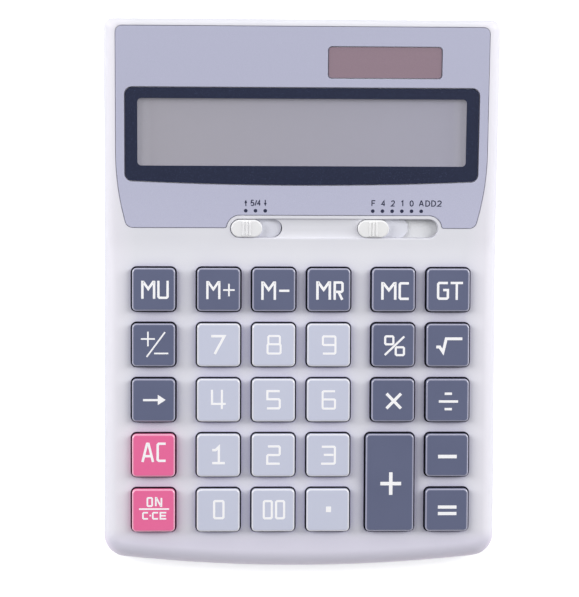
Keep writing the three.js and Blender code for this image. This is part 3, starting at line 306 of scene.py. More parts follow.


# Each key plastic: its colour, a second shade, the painted highlight colour for the edge and the
# painted shade colour for the sides in the gap.
slate_plastic = key_plastic_finish(
    "slate_key_plastic", tint(104, 110, 139), tint(101, 107, 136),
    tint(184, 184, 206), tint(20, 22, 32))
pale_plastic = key_plastic_finish(
    "pale_key_plastic", tint(212, 216, 235), tint(210, 214, 234),
    tint(246, 246, 252), tint(40, 38, 50))
rose_plastic = key_plastic_finish(
    "rose_key_plastic", tint(248, 116, 168), tint(246, 112, 165),
    tint(254, 190, 216), tint(60, 16, 36))
key_plastics = (slate_plastic, pale_plastic, rose_plastic)
print("key plastics:", *(finish.material.name for finish in key_plastics))

# %% [markdown]
# The top of the casing is the same satin plastic as the tray, with light and shade painted
# into its colour. It is painted paler along the sides, a painted light, and darker and more
# lilac along the front edge, a painted shade. Where its walls stand upright it is painted
# darker, close to the tray's tone, as painted shade. The strips between the keys are painted
# a little greyer, as painted shade, where the Ambient Occlusion node finds them closed in by
# what stands within a few millimetres. The narrow wells round the keys read as thin dark
# lines, because their walls are painted dark just below the rim, a painted shade.

# %% Plastic of the upper shell
deck_plastic = moulded("upper_shell_plastic", tint(240, 240, 247), tint(237, 237, 245), 0.4)
deck_plastic.wear("Specular IOR Level", 0.35)
sideways = along(deck_plastic, 0)
from_middle = abs(sideways)
lengthways = along(deck_plastic, 1)
depth = depth_below(deck_plastic)

field_half, field_front, field_rear, field_depth = 0.0615, -0.087, 0.0115, 0.0045
key_field = (sideways > -field_half) * (sideways < field_half) * (depth < field_depth)
key_field = key_field * (lengthways > field_front) * (lengthways < field_rear)
# Painted shade: the walls of the key wells are painted dark just below the rim.
well_shade_mask = ramp(deck_plastic, depth, 0.15 * MM, 0.45 * MM) * key_field

deck_colour = Sock(deck_plastic, deck_plastic.shader.inputs["Base Color"].links[0].from_socket)
# Painted light along the sides of the deck, and painted shade along its front edge.
side_light_mask = ramp(deck_plastic, from_middle, 0.0585, 0.065)
front_shade_mask = ramp(deck_plastic, lengthways, -0.083, -0.088)
deck_colour = blend(deck_plastic, side_light_mask, deck_colour, tint(245, 243, 252))
deck_colour = blend(deck_plastic, front_shade_mask, deck_colour, tint(231, 228, 244))
# Painted shade: walls are painted darker where they stand upright, more lilac at the front.
upright = blend(deck_plastic, front_shade_mask, tint(206, 206, 217), tint(213, 201, 220))
steepness = ramp(deck_plastic, lean(deck_plastic), 0.88, 0.15)
deck_colour = blend(deck_plastic, steepness, deck_colour, upright)

# Painted shade: the strips between the keys are greyed where Ambient Occlusion finds them closed
# in.
within = {"Distance": 7 * MM}
openness = deck_plastic.node("ShaderNodeAmbientOcclusion", {"samples": 6}, within, output=1)
soft_field = ramp(deck_plastic, from_middle, 0.067, 0.058)
soft_field = soft_field * ramp(deck_plastic, lengthways, -0.093, -0.084)
soft_field = soft_field * ramp(deck_plastic, lengthways, 0.0155, 0.0105)
shade_between_keys = ramp(deck_plastic, openness, 0.95, 0.55) * soft_field
shaded_colour = blend(deck_plastic, shade_between_keys, deck_colour, tint(199, 196, 220))
deck_plastic.wear("Base Color", blend(deck_plastic, well_shade_mask, shaded_colour, tint(58, 56, 68)))
print("upper shell finish:", deck_plastic.material.name)

# %% [markdown]
# ## Satin plate, navy border and glass
#
# The faceplate is a lavender-grey sheet with a fine metallic grain, a touch deeper in tone
# towards the rear. The display window is one clear sheet with a navy border printed behind
# it, so the border lies under gloss: a second smooth coat over the colour gives that. Its
# tiny bright flakes are the peaks of a very fine noise. The clear part lets nearly all light
# through, which a low Alpha does without the noise of true refraction.

# %% Plate and window finishes
plate_sheet = Finish("plate_sheet", tint(204, 206, 230), metallic=0.1)
plate_grain = noise(plate_sheet, 0.16)
plate_tone = mottled(plate_sheet, plate_grain, tint(199, 200, 225), tint(217, 218, 242))
rearwards = ramp(plate_sheet, along(plate_sheet, 1), 0.015, 0.065)
deeper_tone = tint(188, 190, 214)
plate_sheet.wear("Base Color", blend(plate_sheet, rearwards * 0.5, plate_tone, deeper_tone))
plate_sheet.wear("Roughness", plate_grain * 0.2 + 0.32)
grained(plate_sheet, plate_grain, 0.004)

navy = tint(20, 30, 62)
navy_print = Finish(
    "navy_window_print", navy, roughness=0.5, coat_weight=0.4, coat_roughness=0.12)
flakes = ramp(navy_print, noise(navy_print, 0.22, 1), 0.62, 0.78)
navy_print.wear("Base Color", blend(navy_print, flakes, navy, tint(86, 98, 136)))
navy_print.wear("Metallic", flakes * 0.5)

clear_sheet = Finish("clear_window_sheet", tint(214, 214, 224))
clear_sheet.wear("Roughness", noise(clear_sheet, 12, 1) * 0.06 + 0.05)
clear_sheet.wear("Alpha", noise(clear_sheet, 25, 1) * 0.04 + 0.08)
print("plate and window:", plate_sheet.material.name, clear_sheet.material.name)

# %% [markdown]
# The unlit display is a grey field that turns from a warm grey on the left to a cool one on
# the right, with the fine grain of its polariser. Near its left and right edges it is painted
# lighter, a painted light against the shade that the window border casts there. The solar
# cell lies behind a mauve-brown tinted window.

# %% Display and solar finishes
display_field = Finish("display_field", tint(165, 163, 170))
across = along(display_field, 0)
left_to_right = ramp(display_field, across, -0.058, 0.058)
# Painted light: lighter near the sides, where the border's shade falls.
painted_light_at_sides = ramp(display_field, abs(across), 0.053, 0.0585)
field_colour = blend(display_field, left_to_right, tint(183, 179, 189), tint(182, 180, 198))
field_colour = blend(display_field, painted_light_at_sides, field_colour, tint(208, 205, 216))
polariser = ramp(display_field, noise(display_field, 0.14), 0.25, 0.75)
field_colour = blend(display_field, polariser * 0.12, field_colour, tint(120, 120, 128))
display_field.wear("Base Color", field_colour)
display_field.wear("Roughness", polariser * 0.1 + 0.3)

solar_tint = Finish(
    "solar_window_tint", tint(152, 128, 141), coat_weight=0.6, coat_roughness=0.1)
solar_mask = ramp(solar_tint, noise(solar_tint, 0.2), 0.3, 0.7)
solar_colour = blend(solar_tint, solar_mask, tint(151, 128, 141), tint(161, 138, 151))
solar_tint.wear("Base Color", solar_colour)
solar_tint.wear("Roughness", solar_mask * 0.1 + 0.35)

dark_cell = Finish("solar_cell_silicon", tint(60, 42, 48), roughness=0.3)
line_pattern = {"Vector": spot(dark_cell), "Scale": 31}
cell_lines = dark_cell.node("ShaderNodeTexWave", {"bands_direction": "X"}, line_pattern) > 0.97
dark_cell.wear("Base Color", blend(dark_cell, cell_lines, tint(66, 46, 54), tint(150, 140, 140)))
print("display and solar:", display_field.material.name, solar_tint.material.name)

# %% [markdown]
# ## Inks, rubber, metal and the parts inside
#
# The legends are thick screen print, a shade rougher than the plastic. White ink is given a
# low emission, a painted glow that makes it look whiter. The parts inside are seen only
# through gaps or with the battery door open, but each still has its own finish: a green board
# with copper tracks, matt silicone rubber, sprung steel and a printed jacket round the cell.

# %% Inks and inner finishes
def printed(name, colour, second, glow=0):
    finish = Finish(name, colour, emission_strength=glow)
    patch = noise(finish, 0.5)
    finish.wear("Base Color", mottled(finish, patch, colour, second))
    finish.wear("Roughness", patch * 0.15 + 0.4)
    return finish


# The low emission on the white ink is a painted glow.
white_ink = printed("white_legend_ink", tint(252, 251, 253), tint(247, 247, 251), 0.1)
navy_ink = printed("navy_scale_ink", tint(44, 48, 78), tint(38, 42, 72))

keypad_silicone = moulded(
    "keypad_silicone", tint(154, 160, 166), tint(146, 152, 158), 0.75, 0.6, 0.01)
foot_rubber = moulded("foot_rubber", tint(52, 54, 60), tint(44, 46, 52), 0.8, 0.5, 0.02, 4)
red_sleeve = moulded("red_lead_sleeve", tint(168, 50, 44), tint(156, 42, 38), 0.5, 0.4)
black_sleeve = moulded("black_lead_sleeve", tint(40, 40, 44), tint(32, 32, 36), 0.5, 0.4)
amber_film = moulded("amber_ribbon_film", tint(190, 138, 70), tint(178, 126, 60), 0.4, 0.4, 0.003)

sprung_steel = Finish("sprung_steel", tint(196, 198, 202), metallic=1)
stretch = {"Vector": spot(sprung_steel), "Scale": (1, 12, 12)}
brushed = sprung_steel.node("ShaderNodeMapping", None, stretch)
fine_noise = {"Vector": brushed, "Scale": 400, "Detail": 3}
streaks = sprung_steel.node("ShaderNodeTexNoise", None, fine_noise)
sprung_steel.wear("Roughness", streaks * 0.25 + 0.18)
grained(sprung_steel, streaks, 0.003)

solder_mask = Finish("green_solder_mask", tint(56, 104, 66), roughness=0.42)
cells = {"Vector": spot(solder_mask), "Scale": 190, "Randomness": 0.6}
to_edge = {"feature": "DISTANCE_TO_EDGE"}
tracks = solder_mask.node("ShaderNodeTexVoronoi", to_edge, cells) < 0.08
solder_mask.wear("Base Color", blend(solder_mask, tracks, tint(52, 98, 62), tint(88, 138, 84)))
grained(solder_mask, tracks, 0.03)

cell_jacket = Finish("battery_jacket", tint(44, 50, 58), metallic=0.3)
gold_band = along(cell_jacket, 0) > 0.010
jacket_colour = blend(cell_jacket, gold_band, tint(46, 50, 60), tint(196, 160, 98))
cell_jacket.wear("Base Color", jacket_colour)
cell_jacket.wear("Roughness", noise(cell_jacket, 0.8) * 0.15 + 0.3)
print("inner finishes:", sprung_steel.material.name, solder_mask.material.name)

# %% [markdown]
# ## Skins, cuts and soft shading
#
# Every hard piece here starts as a skin over rings of points, which suits moulded parts: a
# ring can shrink a little at each level and so roll an edge over with exactly the radius that
# the mould has. A Bevel modifier could round the edges too, but its width and its depth are
# always equal, and next to a curved outline it leaves uneven corners.

# %% Mesh helpers
def new_piece(name, points, faces):
    mesh = bpy.data.meshes.new(name)
    mesh.from_pydata([tuple(point) for point in points], [], faces)
    mesh.validate()
    piece = bpy.data.objects.new(name, mesh)
    bpy.context.scene.collection.objects.link(piece)
    return piece


def skin_faces(count, levels, ladder=False):
    """Faces of a closed skin over levels of rings with count points each, lowest ring first."""
    top = (levels - 1) * count
    faces = []
    for base in range(0, top, count):
        for i in range(count):
            a, b = base + i, base + (i + 1) % count
            faces.append((a, b, b + count, a + count))
    caps = [tuple(range(count))]
    if ladder:
        caps = [(0, 1, count - 1)]
        caps += [(i, i + 1, count - i - 1, count - i) for i in range(1, (count - 1) // 2)]
    for cap in caps:
        faces.append(tuple(reversed(cap)))
        faces.append(tuple(top + i for i in cap))
    return faces


def loft(name, rings, ladder=False):
    points = [point for ring in rings for point in ring]
    return new_piece(name, points, skin_faces(len(rings[0]), len(rings), ladder))


print("a closed skin over two squares has", len(skin_faces(4, 2)), "faces")

# %% [markdown]
# Holes are cut with Blender's Boolean, set to its manifold solver, which keeps closed skins
# closed even where two faces nearly touch. A modifier only shows its result, so it is applied
# here by reading the evaluated mesh back. Tools that repeat one cut are gathered into a
# single mesh first, which is much quicker than a modifier for each.

# %% Cutting and gathering
def settled(piece):
    """Applies a piece's modifiers to its mesh."""
    depsgraph = bpy.context.evaluated_depsgraph_get()
    mesh = bpy.data.meshes.new_from_object(piece.evaluated_get(depsgraph))
    piece.modifiers.clear()
    piece.data = mesh


def carve(piece, tools, operation="DIFFERENCE"):
    """Cuts each tool away from the piece, or joins it on, and deletes the tools."""
    for tool in tools:
        step = piece.modifiers.new("carve", "BOOLEAN")
        step.operation = operation
        step.solver = "MANIFOLD"
        step.object = tool
    settled(piece)
    for tool in tools:
        bpy.data.objects.remove(tool)
    return piece


def gathered(name, pieces):
    """One mesh out of several that don't touch, such as the tools that cut all the key wells."""
    points, faces = [], []
    for piece in pieces:
        start = len(points)
        points += [point.co.copy() for point in piece.data.vertices]
        faces += [tuple(start + i for i in face.vertices) for face in piece.data.polygons]
        bpy.data.objects.remove(piece)
    return new_piece(name, points, faces)


print("Booleans ready")

# %% [markdown]
# A finished piece is dressed: it goes from its deck to its place in metres, gets its finish,
# and is shaded smooth except at real edges. Weighted normals keep its large flats flat next
# to small rounds. Then it is put on the body that it moves with.

# %% Dressing a piece
def dress(piece, finish, deck=table_frame, sharp=32):
    """Puts a piece in its place in metres, with its finish and soft shading between edges."""
    piece.data.transform(deck)
    piece.data.materials.clear()
    piece.data.materials.append(finish.material)
    piece.data.shade_smooth()
    piece.data.set_sharp_from_angle(angle=math.radians(sharp))
    evened = piece.modifiers.new("even normals", "WEIGHTED_NORMAL")
    evened.keep_sharp = True
    return piece


def on_body(piece, body, slot, *cad_nodes):
    """The piece moves with a body and stands for CAD nodes, which are hidden. The slot is not used.
    """
    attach(piece, body)
    if cad_nodes:
        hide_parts(*cad_nodes)
    return piece


print(len(nodes), "CAD nodes to dress")

# %% [markdown]
# Most outlines are rectangles with round corners, and most edges are rounded by a quarter of
# a circle. Both are functions here, so a key, a window and a slot differ only in their sizes.

# %% Outlines and rounded edges
quarter_turn = math.pi / 2
nearest = 0.0004
least_radius = 0.01
overrun = 6
flare_steps = 3


def arc(x, y, radius, start, end, steps):
    """Points along an arc, angles in quarter turns."""
    angles = [quarter_turn * (start + (end - start) * i / steps) for i in range(steps + 1)]
    return [(x + radius * math.cos(angle), y + radius * math.sin(angle)) for angle in angles]


def distinct(points):
    """Drops a point that lies on the one before it, such as where two arcs meet."""
    kept = []
    for point in points:
        if not kept or math.dist(point, kept[-1]) > nearest:
            kept.append(point)
    if math.dist(kept[0], kept[-1]) <= nearest:
        kept.pop()
    return kept


def rounded(left, right, low, high, radius, steps=6):
    radius = max(radius, least_radius)
    left, right, low, high = left + radius, right - radius, low + radius, high - radius
    points = []
    for turn, (x, y) in enumerate(((right, high), (left, high), (left, low), (right, low))):
        points += arc(x, y, radius, turn, turn + 1, steps)
    return distinct(points)


def growing(left, right, low, high, radius, steps=6):
    """A rounded outline as a function of how far it grows, so that seats follow what they hold."""
    return lambda grow: rounded(
        left - grow, right + grow, low - grow, high + grow, radius + grow, steps)


def grown(edge, gap):
    return lambda grow: edge(gap + grow)


def level(outline, height):
    return [(x, y, height) for x, y in outline]


def rolled(radius, drop, steps):
    """How far in and how high each ring of a rounded top edge lies, from its start to its end."""
    angles = [quarter_turn * i / steps for i in range(steps + 1)]
    return [(radius * (1 - math.cos(angle)), drop * (math.sin(angle) - 1)) for angle in angles]


print("a rounded square has", len(rounded(-1, 1, -1, 1, 0.3)), "points")

# %% [markdown]
# Four kinds of solid cover nearly everything that is built on those outlines: a slab with a
# soft edge, a tool with straight sides, a tool that flares at its mouth, and a turned solid.
# The flared tool leaves a rounded edge round its hole, so no bevel has to be added after.

# %% Slabs, tools and turned solids
def slab(name, outline_at, low, high, edge, steps=3, low_edge=0):
    """A plate from low to high whose upper edge, and lower one if asked, is rounded."""
    rings = []
    if low_edge:
        for inset, rise in reversed(rolled(low_edge, low_edge, steps)):
            rings.append(level(outline_at(-inset), low - rise))
    else:
        rings.append(level(outline_at(0), low))
    for inset, rise in rolled(edge, edge, steps):
        rings.append(level(outline_at(-inset), high + rise))
    return loft(name, rings)


def hole_tool(name, outline_at, low, rim, flare):
    """What cuts a hole: straight below, and flared at its rim so that the hole's edge is round."""
    rings = [level(outline_at(0), low)]
    for grow, rise in rolled(flare, flare, flare_steps):
        rings.append(level(outline_at(grow), rim + rise))
    rings.append(level(outline_at(flare), rim + overrun))
    return loft(name, rings)


def straight_tool(name, outline, low, high):
    return loft(name, [level(outline, low), level(outline, high)])


def box_tool(name, x, y, z):
    return straight_tool(name, [(x[1], y[0]), (x[1], y[1]), (x[0], y[1]), (x[0], y[0])], *z)


def turned(name, profile, sides, centre=(0, 0, 0), axis="Z"):
    """A solid turned from points (radius, height), both ends closed on the axis."""
    turns = [4 * quarter_turn * i / sides for i in range(sides)]
    rings = []
    for radius, height in profile:
        rings.append([(radius * math.cos(turn), radius * math.sin(turn), height) for turn in turns])
    piece = loft(name, rings)
    if axis == "X":
        piece.data.transform(Matrix.Rotation(quarter_turn, 4, "Y"))
    piece.data.transform(Matrix.Translation(centre))
    return piece


def turned_at(name, places, profile, sides):
    """The same turned solid at several places, as one mesh."""
    turned_tools = [turned(f"one_of_{name}", profile, sides, (x, y, 0)) for x, y in places]
    return gathered(name, turned_tools)


def tilted(tool, tilt):
    tool.data.transform(tilt)
    return tool


print("a hole tool flares in", flare_steps, "steps")

# %% [markdown]
# ## The moulded top of the casing
#
# The top is one injection-moulded shell: two flat decks, shoulders that roll down to steep
# walls, and a front edge that bows gently towards the user. It is built as rings that follow
# the plan outline, from the parting line up over the shoulder to the edge of the decks. The
# same outline, drawn in by the wall, gives the hollow inside.

# %% Plan outline of the casing
casing_half = 70
casing_front = -96.7747
casing_rear = 96.7747
front_bow = 580
front_corner = 8
rear_corner = 3.5
shoulder_run = 4.9
nose_run = 5.5
rear_run = 3.07
ridge_blend = 3
deck_corner = 1.8
wall = 2
wall_draft = 0.35
skin = 2
drop_share = 1.02
parting_front = 5.2
parting_slope = math.radians(3)
parting_gap = 0.3
seat_gap = 0.3

full_outline = dict(
    half=casing_half, front=casing_front, rear=casing_rear,
    bow=front_bow, front_radius=front_corner, rear_radius=rear_corner)
deck_outline = dict(
    half=casing_half - shoulder_run, front=casing_front + nose_run, rear=casing_rear - rear_run,
    bow=front_bow - nose_run, front_radius=front_corner - shoulder_run, rear_radius=deck_corner)
inward = dict(half=-1, front=1, rear=-1, bow=-1, front_radius=-1, rear_radius=-1)


def drawn_in(sizes, distance):
    return {name: value + inward[name] * distance for name, value in sizes.items()}


print("the decks are", round(2 * deck_outline["half"], 1), "mm wide")

# %% [markdown]
# The outline is worked out point by point from those sizes, always with the same number of
# points. That is what makes the rest easy: two outlines with equal counts can be skinned, or
# blended into each other, with no search for which point belongs to which.

# %% Points of the plan outline
def plan_points(sizes, bow_steps=16, front_steps=12, rear_steps=8, ridge_steps=6):
    """The plan outline from the middle of the front, up the right side and round to the left."""
    half, bow, corner = sizes["half"], sizes["bow"], sizes["front_radius"]
    bow_centre = sizes["front"] + bow
    corner_x = half - corner
    corner_y = bow_centre - math.sqrt((bow - corner) ** 2 - corner_x ** 2)
    corner_start = math.atan2(corner_y - bow_centre, corner_x)
    right = []
    for i in range(bow_steps):
        angle = -quarter_turn + (corner_start + quarter_turn) * i / bow_steps
        right.append((bow * math.cos(angle), bow_centre + bow * math.sin(angle)))
    right[0] = (0, right[0][1])
    for i in range(front_steps + 1):
        angle = corner_start * (1 - i / front_steps)
        right.append((corner_x + corner * math.cos(angle), corner_y + corner * math.sin(angle)))
    for i in range(ridge_steps + 1):
        right.append((half, ridge_y + ridge_blend * (2 * i / ridge_steps - 1)))
    rear, radius = sizes["rear"], sizes["rear_radius"]
    right += arc(half - radius, rear - radius, radius, 0, 1, rear_steps)
    return right + [(-x, y) for x, y in reversed(right[1:])]


print("plan outline has", len(plan_points(full_outline)), "points")

# %% [markdown]
# Heights come from functions of y alone. The two decks meet in a short parabola at the ridge,
# so no crease shows there, and the parting line is one straight slope. From the wall to the
# deck, each ring lies a step further along a quarter of an arc.

# %% Heights and shoulder rings
def deck_height(y):
    past = y - ridge_y
    key_rate, display_rate = math.tan(key_slope), math.tan(display_slope)
    if past <= -ridge_blend:
        return ridge_z + past * key_rate
    if past >= ridge_blend:
        return ridge_z + past * display_rate
    bend = (display_rate - key_rate) / (4 * ridge_blend)
    return ridge_z + past * key_rate + bend * (past + ridge_blend) ** 2


def parting_height(y):
    return parting_front + (y - casing_front) * math.tan(parting_slope)


def plan_ring(sizes, height_of):
    return [(x, y, height_of(y)) for x, y in plan_points(sizes)]


def shoulder_rings(wall_sizes, edge_sizes, depth, facets):
    """Rings that roll over from the top of a wall to the edge of the decks."""
    rings = []
    walls, edges = plan_points(wall_sizes), plan_points(edge_sizes)
    for share, rise in rolled(1, drop_share, facets):
        ring = []
        for (wall_x, wall_y), (edge_x, edge_y) in zip(walls, edges):
            run = math.hypot(edge_x - wall_x, edge_y - wall_y)
            x = wall_x + (edge_x - wall_x) * share
            y = wall_y + (edge_y - wall_y) * share
            ring.append((x, y, deck_height(y) - depth + run * rise))
        rings.append(ring)
    return rings


print("the ridge is", round(deck_height(ridge_y), 2), "mm high")

# %% [markdown]
# The shell is cut for what passes through it: 29 key wells, the shallow seat of the
# faceplate, the display and solar openings, and the dished trough with two slots for the
# slide switches. Their places are measured in the frame of the deck that each is in. A key
# and its well share one outline, so the gap between them is even all round.

# %% Keys, windows and switches: their places
row_pitch = 19.63
key_side = 15.2
key_corner = 1.5
key_rise = 2.6
column_x = [-52.2, -29.25, -9.75, 9.75, 32.7, 52.2]
row_y = [-14.9 - row_pitch * row for row in range(5)]
key_rows = [
    ["key_mu", "key_m_plus", "key_m_minus", "key_mr", "key_mc", "key_gt"],
    ["key_sign", "key_7", "key_8", "key_9", "key_percent", "key_root"],
    ["key_backspace", "key_4", "key_5", "key_6", "key_multiply", "key_divide"],
    ["key_ac", "key_1", "key_2", "key_3", "key_plus", "key_minus"],
    ["key_on", "key_0", "key_00", "key_point", None, "key_equals"],
]
plus_width = 17.1
plus_length = row_pitch + key_side
key_places = {}
for row, names in enumerate(key_rows):
    for column, name in enumerate(names):
        if name:
            key_places[name] = (column_x[column], row_y[row], key_side, key_side)
plus_x = column_x[4] - (plus_width - key_side) / 2
key_places["key_plus"] = (plus_x, (row_y[3] + row_y[4]) / 2, plus_width, plus_length)


def key_edge(name):
    x, y, width, length = key_places[name]
    return growing(x - width / 2, x + width / 2, y - length / 2, y + length / 2, key_corner)


plate_half = 65.3
plate_low = 7.15
plate_high = 77.65
plate_thickness = 0.9
plate_proud = 0.2
window_half = 62.2
window_low = 23.56
window_high = 56.4
window_corner = 2.5
window_bow = 1.35
window_sunk = 0.2
view_edge = growing(-57.9, 57.9, 28.9, 52.65, 1.4)
solar_edge = growing(9, 48.7, 60, 70.75, 1.1)
switch_line = 6.72
switch_step = 3.44
knob_length = 11.1
knob_width = 6.2
knob_travels = {"rounding": (-19.41, 2), "decimal": (25.54, 5)}
slide_gap = 0.2
trough_radius = 3.4
trough_left = -25.26
trough_right = 48.59


def slot_edge(left, right, radius):
    """A long slot with round ends, centred on the line of the switches."""
    return growing(left, right, switch_line - radius, switch_line + radius, radius, 10)


print(len(key_places), "keys and", len(knob_travels), "switches")

# %% [markdown]
# The faceplate's outline is the one free-form line of the top: its sides draw in towards the
# switches, and a notch in its lower edge follows the rim of the trough. It is made of ten
# arcs. Growing every arc by the same distance gives the seat in the casing from the same
# function as the plate itself.

# %% Faceplate and window outlines
plate_curve = 94
plate_curve_rise = 26.55
plate_top_corner = 2.1
plate_bottom_corner = 2.5
notch_rim = 1.55
notch_mouth = 0.5


def plate_outline(grow):
    low, high, half = plate_low - grow, plate_high + grow, plate_half + grow
    curve, curve_start = plate_curve + grow, plate_low + plate_curve_rise
    top, bottom = plate_top_corner + grow, plate_bottom_corner + grow
    rim, mouth = trough_radius + notch_rim - grow, notch_mouth + grow
    mouth_y = low + mouth
    mouth_shift = math.sqrt((rim + mouth) ** 2 - (mouth_y - switch_line) ** 2)
    mouth_angle = math.atan2(switch_line - mouth_y, mouth_shift) / quarter_turn
    foot_y = low + bottom
    foot_x = half - curve + math.sqrt((curve - bottom) ** 2 - (curve_start - foot_y) ** 2)
    foot_angle = math.atan2(foot_y - curve_start, foot_x - half + curve) / quarter_turn
    left_end, right_end = trough_left + trough_radius, trough_right - trough_radius
    points = arc(half - top, high - top, top, 0, 1, 8)
    points += arc(top - half, high - top, top, 1, 2, 8)
    points += arc(curve - half, curve_start, curve, 2, 2 - foot_angle, 14)
    points += arc(-foot_x, foot_y, bottom, 2 - foot_angle, 3, 8)
    points += arc(left_end - mouth_shift, mouth_y, mouth, -1, mouth_angle, 6)
    points += arc(left_end, switch_line, rim, 2 + mouth_angle, 1, 10)
    points += arc(right_end, switch_line, rim, 1, -mouth_angle, 10)
    points += arc(right_end + mouth_shift, mouth_y, mouth, 2 - mouth_angle, 3, 6)
    points += arc(foot_x, foot_y, bottom, -1, foot_angle, 8)
    points += arc(half - curve, curve_start, curve, foot_angle, 0, 14)
    return points


def window_outline(grow):
    half, low, high = window_half + grow, window_low - grow, window_high + grow
    radius = window_corner + grow
    span = half - radius
    bow = (span ** 2 + window_bow ** 2) / (2 * window_bow)
    tilt = math.asin(span / bow) / quarter_turn
    points = arc(span, high - radius, radius, 0, 1, 8)
    points += arc(-span, high - radius, radius, 1, 2, 8)
    points += arc(-span, low + radius, radius, 2, 3 - tilt, 8)
    points += arc(0, low - window_bow + bow, bow, 3 - tilt, 3 + tilt, 20)
    points += arc(span, low + radius, radius, 3 + tilt, 4, 8)
    return points


def without_repeats(outline_at):
    """The same outline with the points left out that repeat one before them at no growth."""
    plain = outline_at(0)
    kept = [i for i, point in enumerate(plain) if math.dist(point, plain[i - 1]) > nearest]
    return lambda grow: [outline_at(grow)[i] for i in kept]


plate_edge = without_repeats(plate_outline)
window_edge = without_repeats(window_outline)
print("plate outline has", len(plate_edge(0)), "points")

# %% [markdown]
# Now the shell itself. Its outer skin rolls over the shoulders in twelve steps, smooth enough
# for a glossy edge. The hollow follows the same rings two millimetres further in, in fewer
# steps, since its inner side is never seen up close.

# %% Upper shell and its hollow
weld = 0.4
shoulder_facets = 12
hollow_facets = 4
wall_top = drawn_in(full_outline, wall_draft)
shell_rings = [plan_ring(full_outline, lambda y: parting_height(y) + parting_gap)]
shell_rings += shoulder_rings(wall_top, deck_outline, 0, shoulder_facets)
upper_housing = loft("upper_shell", shell_rings, ladder=True)

inner_wall = drawn_in(full_outline, wall)
inner_edge = drawn_in(deck_outline, weld)
inner_edge["front_radius"] = deck_outline["front_radius"]
inner_edge["rear_radius"] = inner_wall["rear_radius"]
inner_edge["rear"] = inner_wall["rear"] - weld
hollow_rings = [plan_ring(inner_wall, lambda y: parting_height(y) - overrun)]
hollow_rings += shoulder_rings(drawn_in(inner_wall, wall_draft), inner_edge, skin, hollow_facets)
shell_hollow = loft("shell_hollow", hollow_rings, ladder=True)
carve(upper_housing, [shell_hollow])
print("hollow shell:", len(upper_housing.data.polygons), "faces")

# %% [markdown]
# Every well, seat and opening is a tool, built flat and then tilted with its deck. The wells
# are gathered into one mesh first, because one Boolean with 29 shells is much quicker than 29
# Booleans. The trough is a shallow dish: rings that shrink along an arc give its section, and
# the last few roll its rim over. Each slot is as long as its knob and the way that it travels.

# %% Openings of the upper housing
key_gap = 0.48
cut_below = -4
seat_depth = 1
trough_depth = 1
trough_rim = 0.35
dish_steps = 8
dish_angle = math.radians(80)
dish_share = 0.9

key_wells = gathered("key_wells", [
    hole_tool(f"well_{name}", grown(key_edge(name), key_gap), cut_below, 0, flare=0.2)
    for name in key_places])
plate_seat = hole_tool("plate_seat", grown(plate_edge, seat_gap), -seat_depth, 0, flare=0.15)
view_hole = straight_tool("view_hole", view_edge(seat_gap), cut_below, 0)
solar_hole = straight_tool("solar_hole", solar_edge(-seat_gap), cut_below, 0)


def trough_tool():
    """A dish whose section is close to an arc, with its rim rolled over softly."""
    rings = []
    for step in range(dish_steps + 1):
        angle = dish_angle * (1 - step / dish_steps)
        inset = dish_share * trough_radius * (1 - math.cos(angle))
        edge = slot_edge(trough_left + inset, trough_right - inset, trough_radius - inset)
        dip = (trough_depth - trough_rim) * math.sin(angle)
        rings.append(level(edge(0), -trough_rim - dip))
    rim = slot_edge(trough_left, trough_right, trough_radius)
    for inset, rise in rolled(trough_rim, trough_rim, 5)[1:]:
        rings.append(level(rim(inset), rise))
    rings.append(level(rim(trough_rim), overrun))
    return loft("trough", rings)


def travel_slot(name):
    centre, travel_steps = knob_travels[name]
    reach = knob_length / 2 + slide_gap
    travel = travel_steps * switch_step
    edge = slot_edge(centre - reach, centre + travel + reach, knob_width / 2 + slide_gap)
    return straight_tool(f"slot_{name}", edge(0), cut_below, overrun)


slots = gathered("slots", [travel_slot(name) for name in knob_travels])
on_display_deck = (plate_seat, view_hole, solar_hole, trough_tool(), slots)
openings = [tilted(key_wells, key_tilt)]
openings += [tilted(tool, display_tilt) for tool in on_display_deck]
carve(upper_housing, openings)
dress(upper_housing, deck_plastic)
on_body(upper_housing, "casing", "shell", "upper_housing")
print("upper shell:", len(upper_housing.data.polygons), "faces")

# %% [markdown]
# ## The tray underneath
#
# The lower half is a shallow tray. Its outer wall meets the top at a parting line that rises
# towards the rear, and a thin lip inside that line keeps the halves in register. It rolls
# under at the base, so the same quarter arc that rounds a key's edge is used upside down.

# %% Tray with its lip
foot_height = 1.2
floor_top = 3.2
base_inset = 1.6
base_rise = 1.8
base_facets = 6
lip_thickness = 0.8
lip_rise = 1.5

tray_rings = [
    plan_ring(drawn_in(full_outline, inset), lambda y: foot_height - rise)
    for inset, rise in reversed(rolled(base_inset, base_rise, base_facets))]
tray_rings.append(plan_ring(full_outline, parting_height))
lower_housing = loft("lower_tray", tray_rings, ladder=True)

lip_outline = drawn_in(full_outline, wall + wall_draft + seat_gap)
lip = loft("lip", [
    plan_ring(lip_outline, lambda y: floor_top - weld),
    plan_ring(lip_outline, lambda y: parting_height(y) + lip_rise)], ladder=True)
cavity_outline = drawn_in(lip_outline, lip_thickness)
cavity = loft("cavity", [
    plan_ring(cavity_outline, lambda y: floor_top),
    plan_ring(cavity_outline, lambda y: parting_height(y) + overrun)], ladder=True)
carve(lower_housing, [lip], "UNION")
carve(lower_housing, [cavity])
print("tray and lip:", len(lower_housing.data.polygons), "faces")

# %% [markdown]
# The tray has four pockets for rubber feet, four screw wells, and the battery compartment
# with the track that its door slides in. The compartment is as long as the cell with its
# spring. The room for the door is a little wider all round, and has a groove on each side.

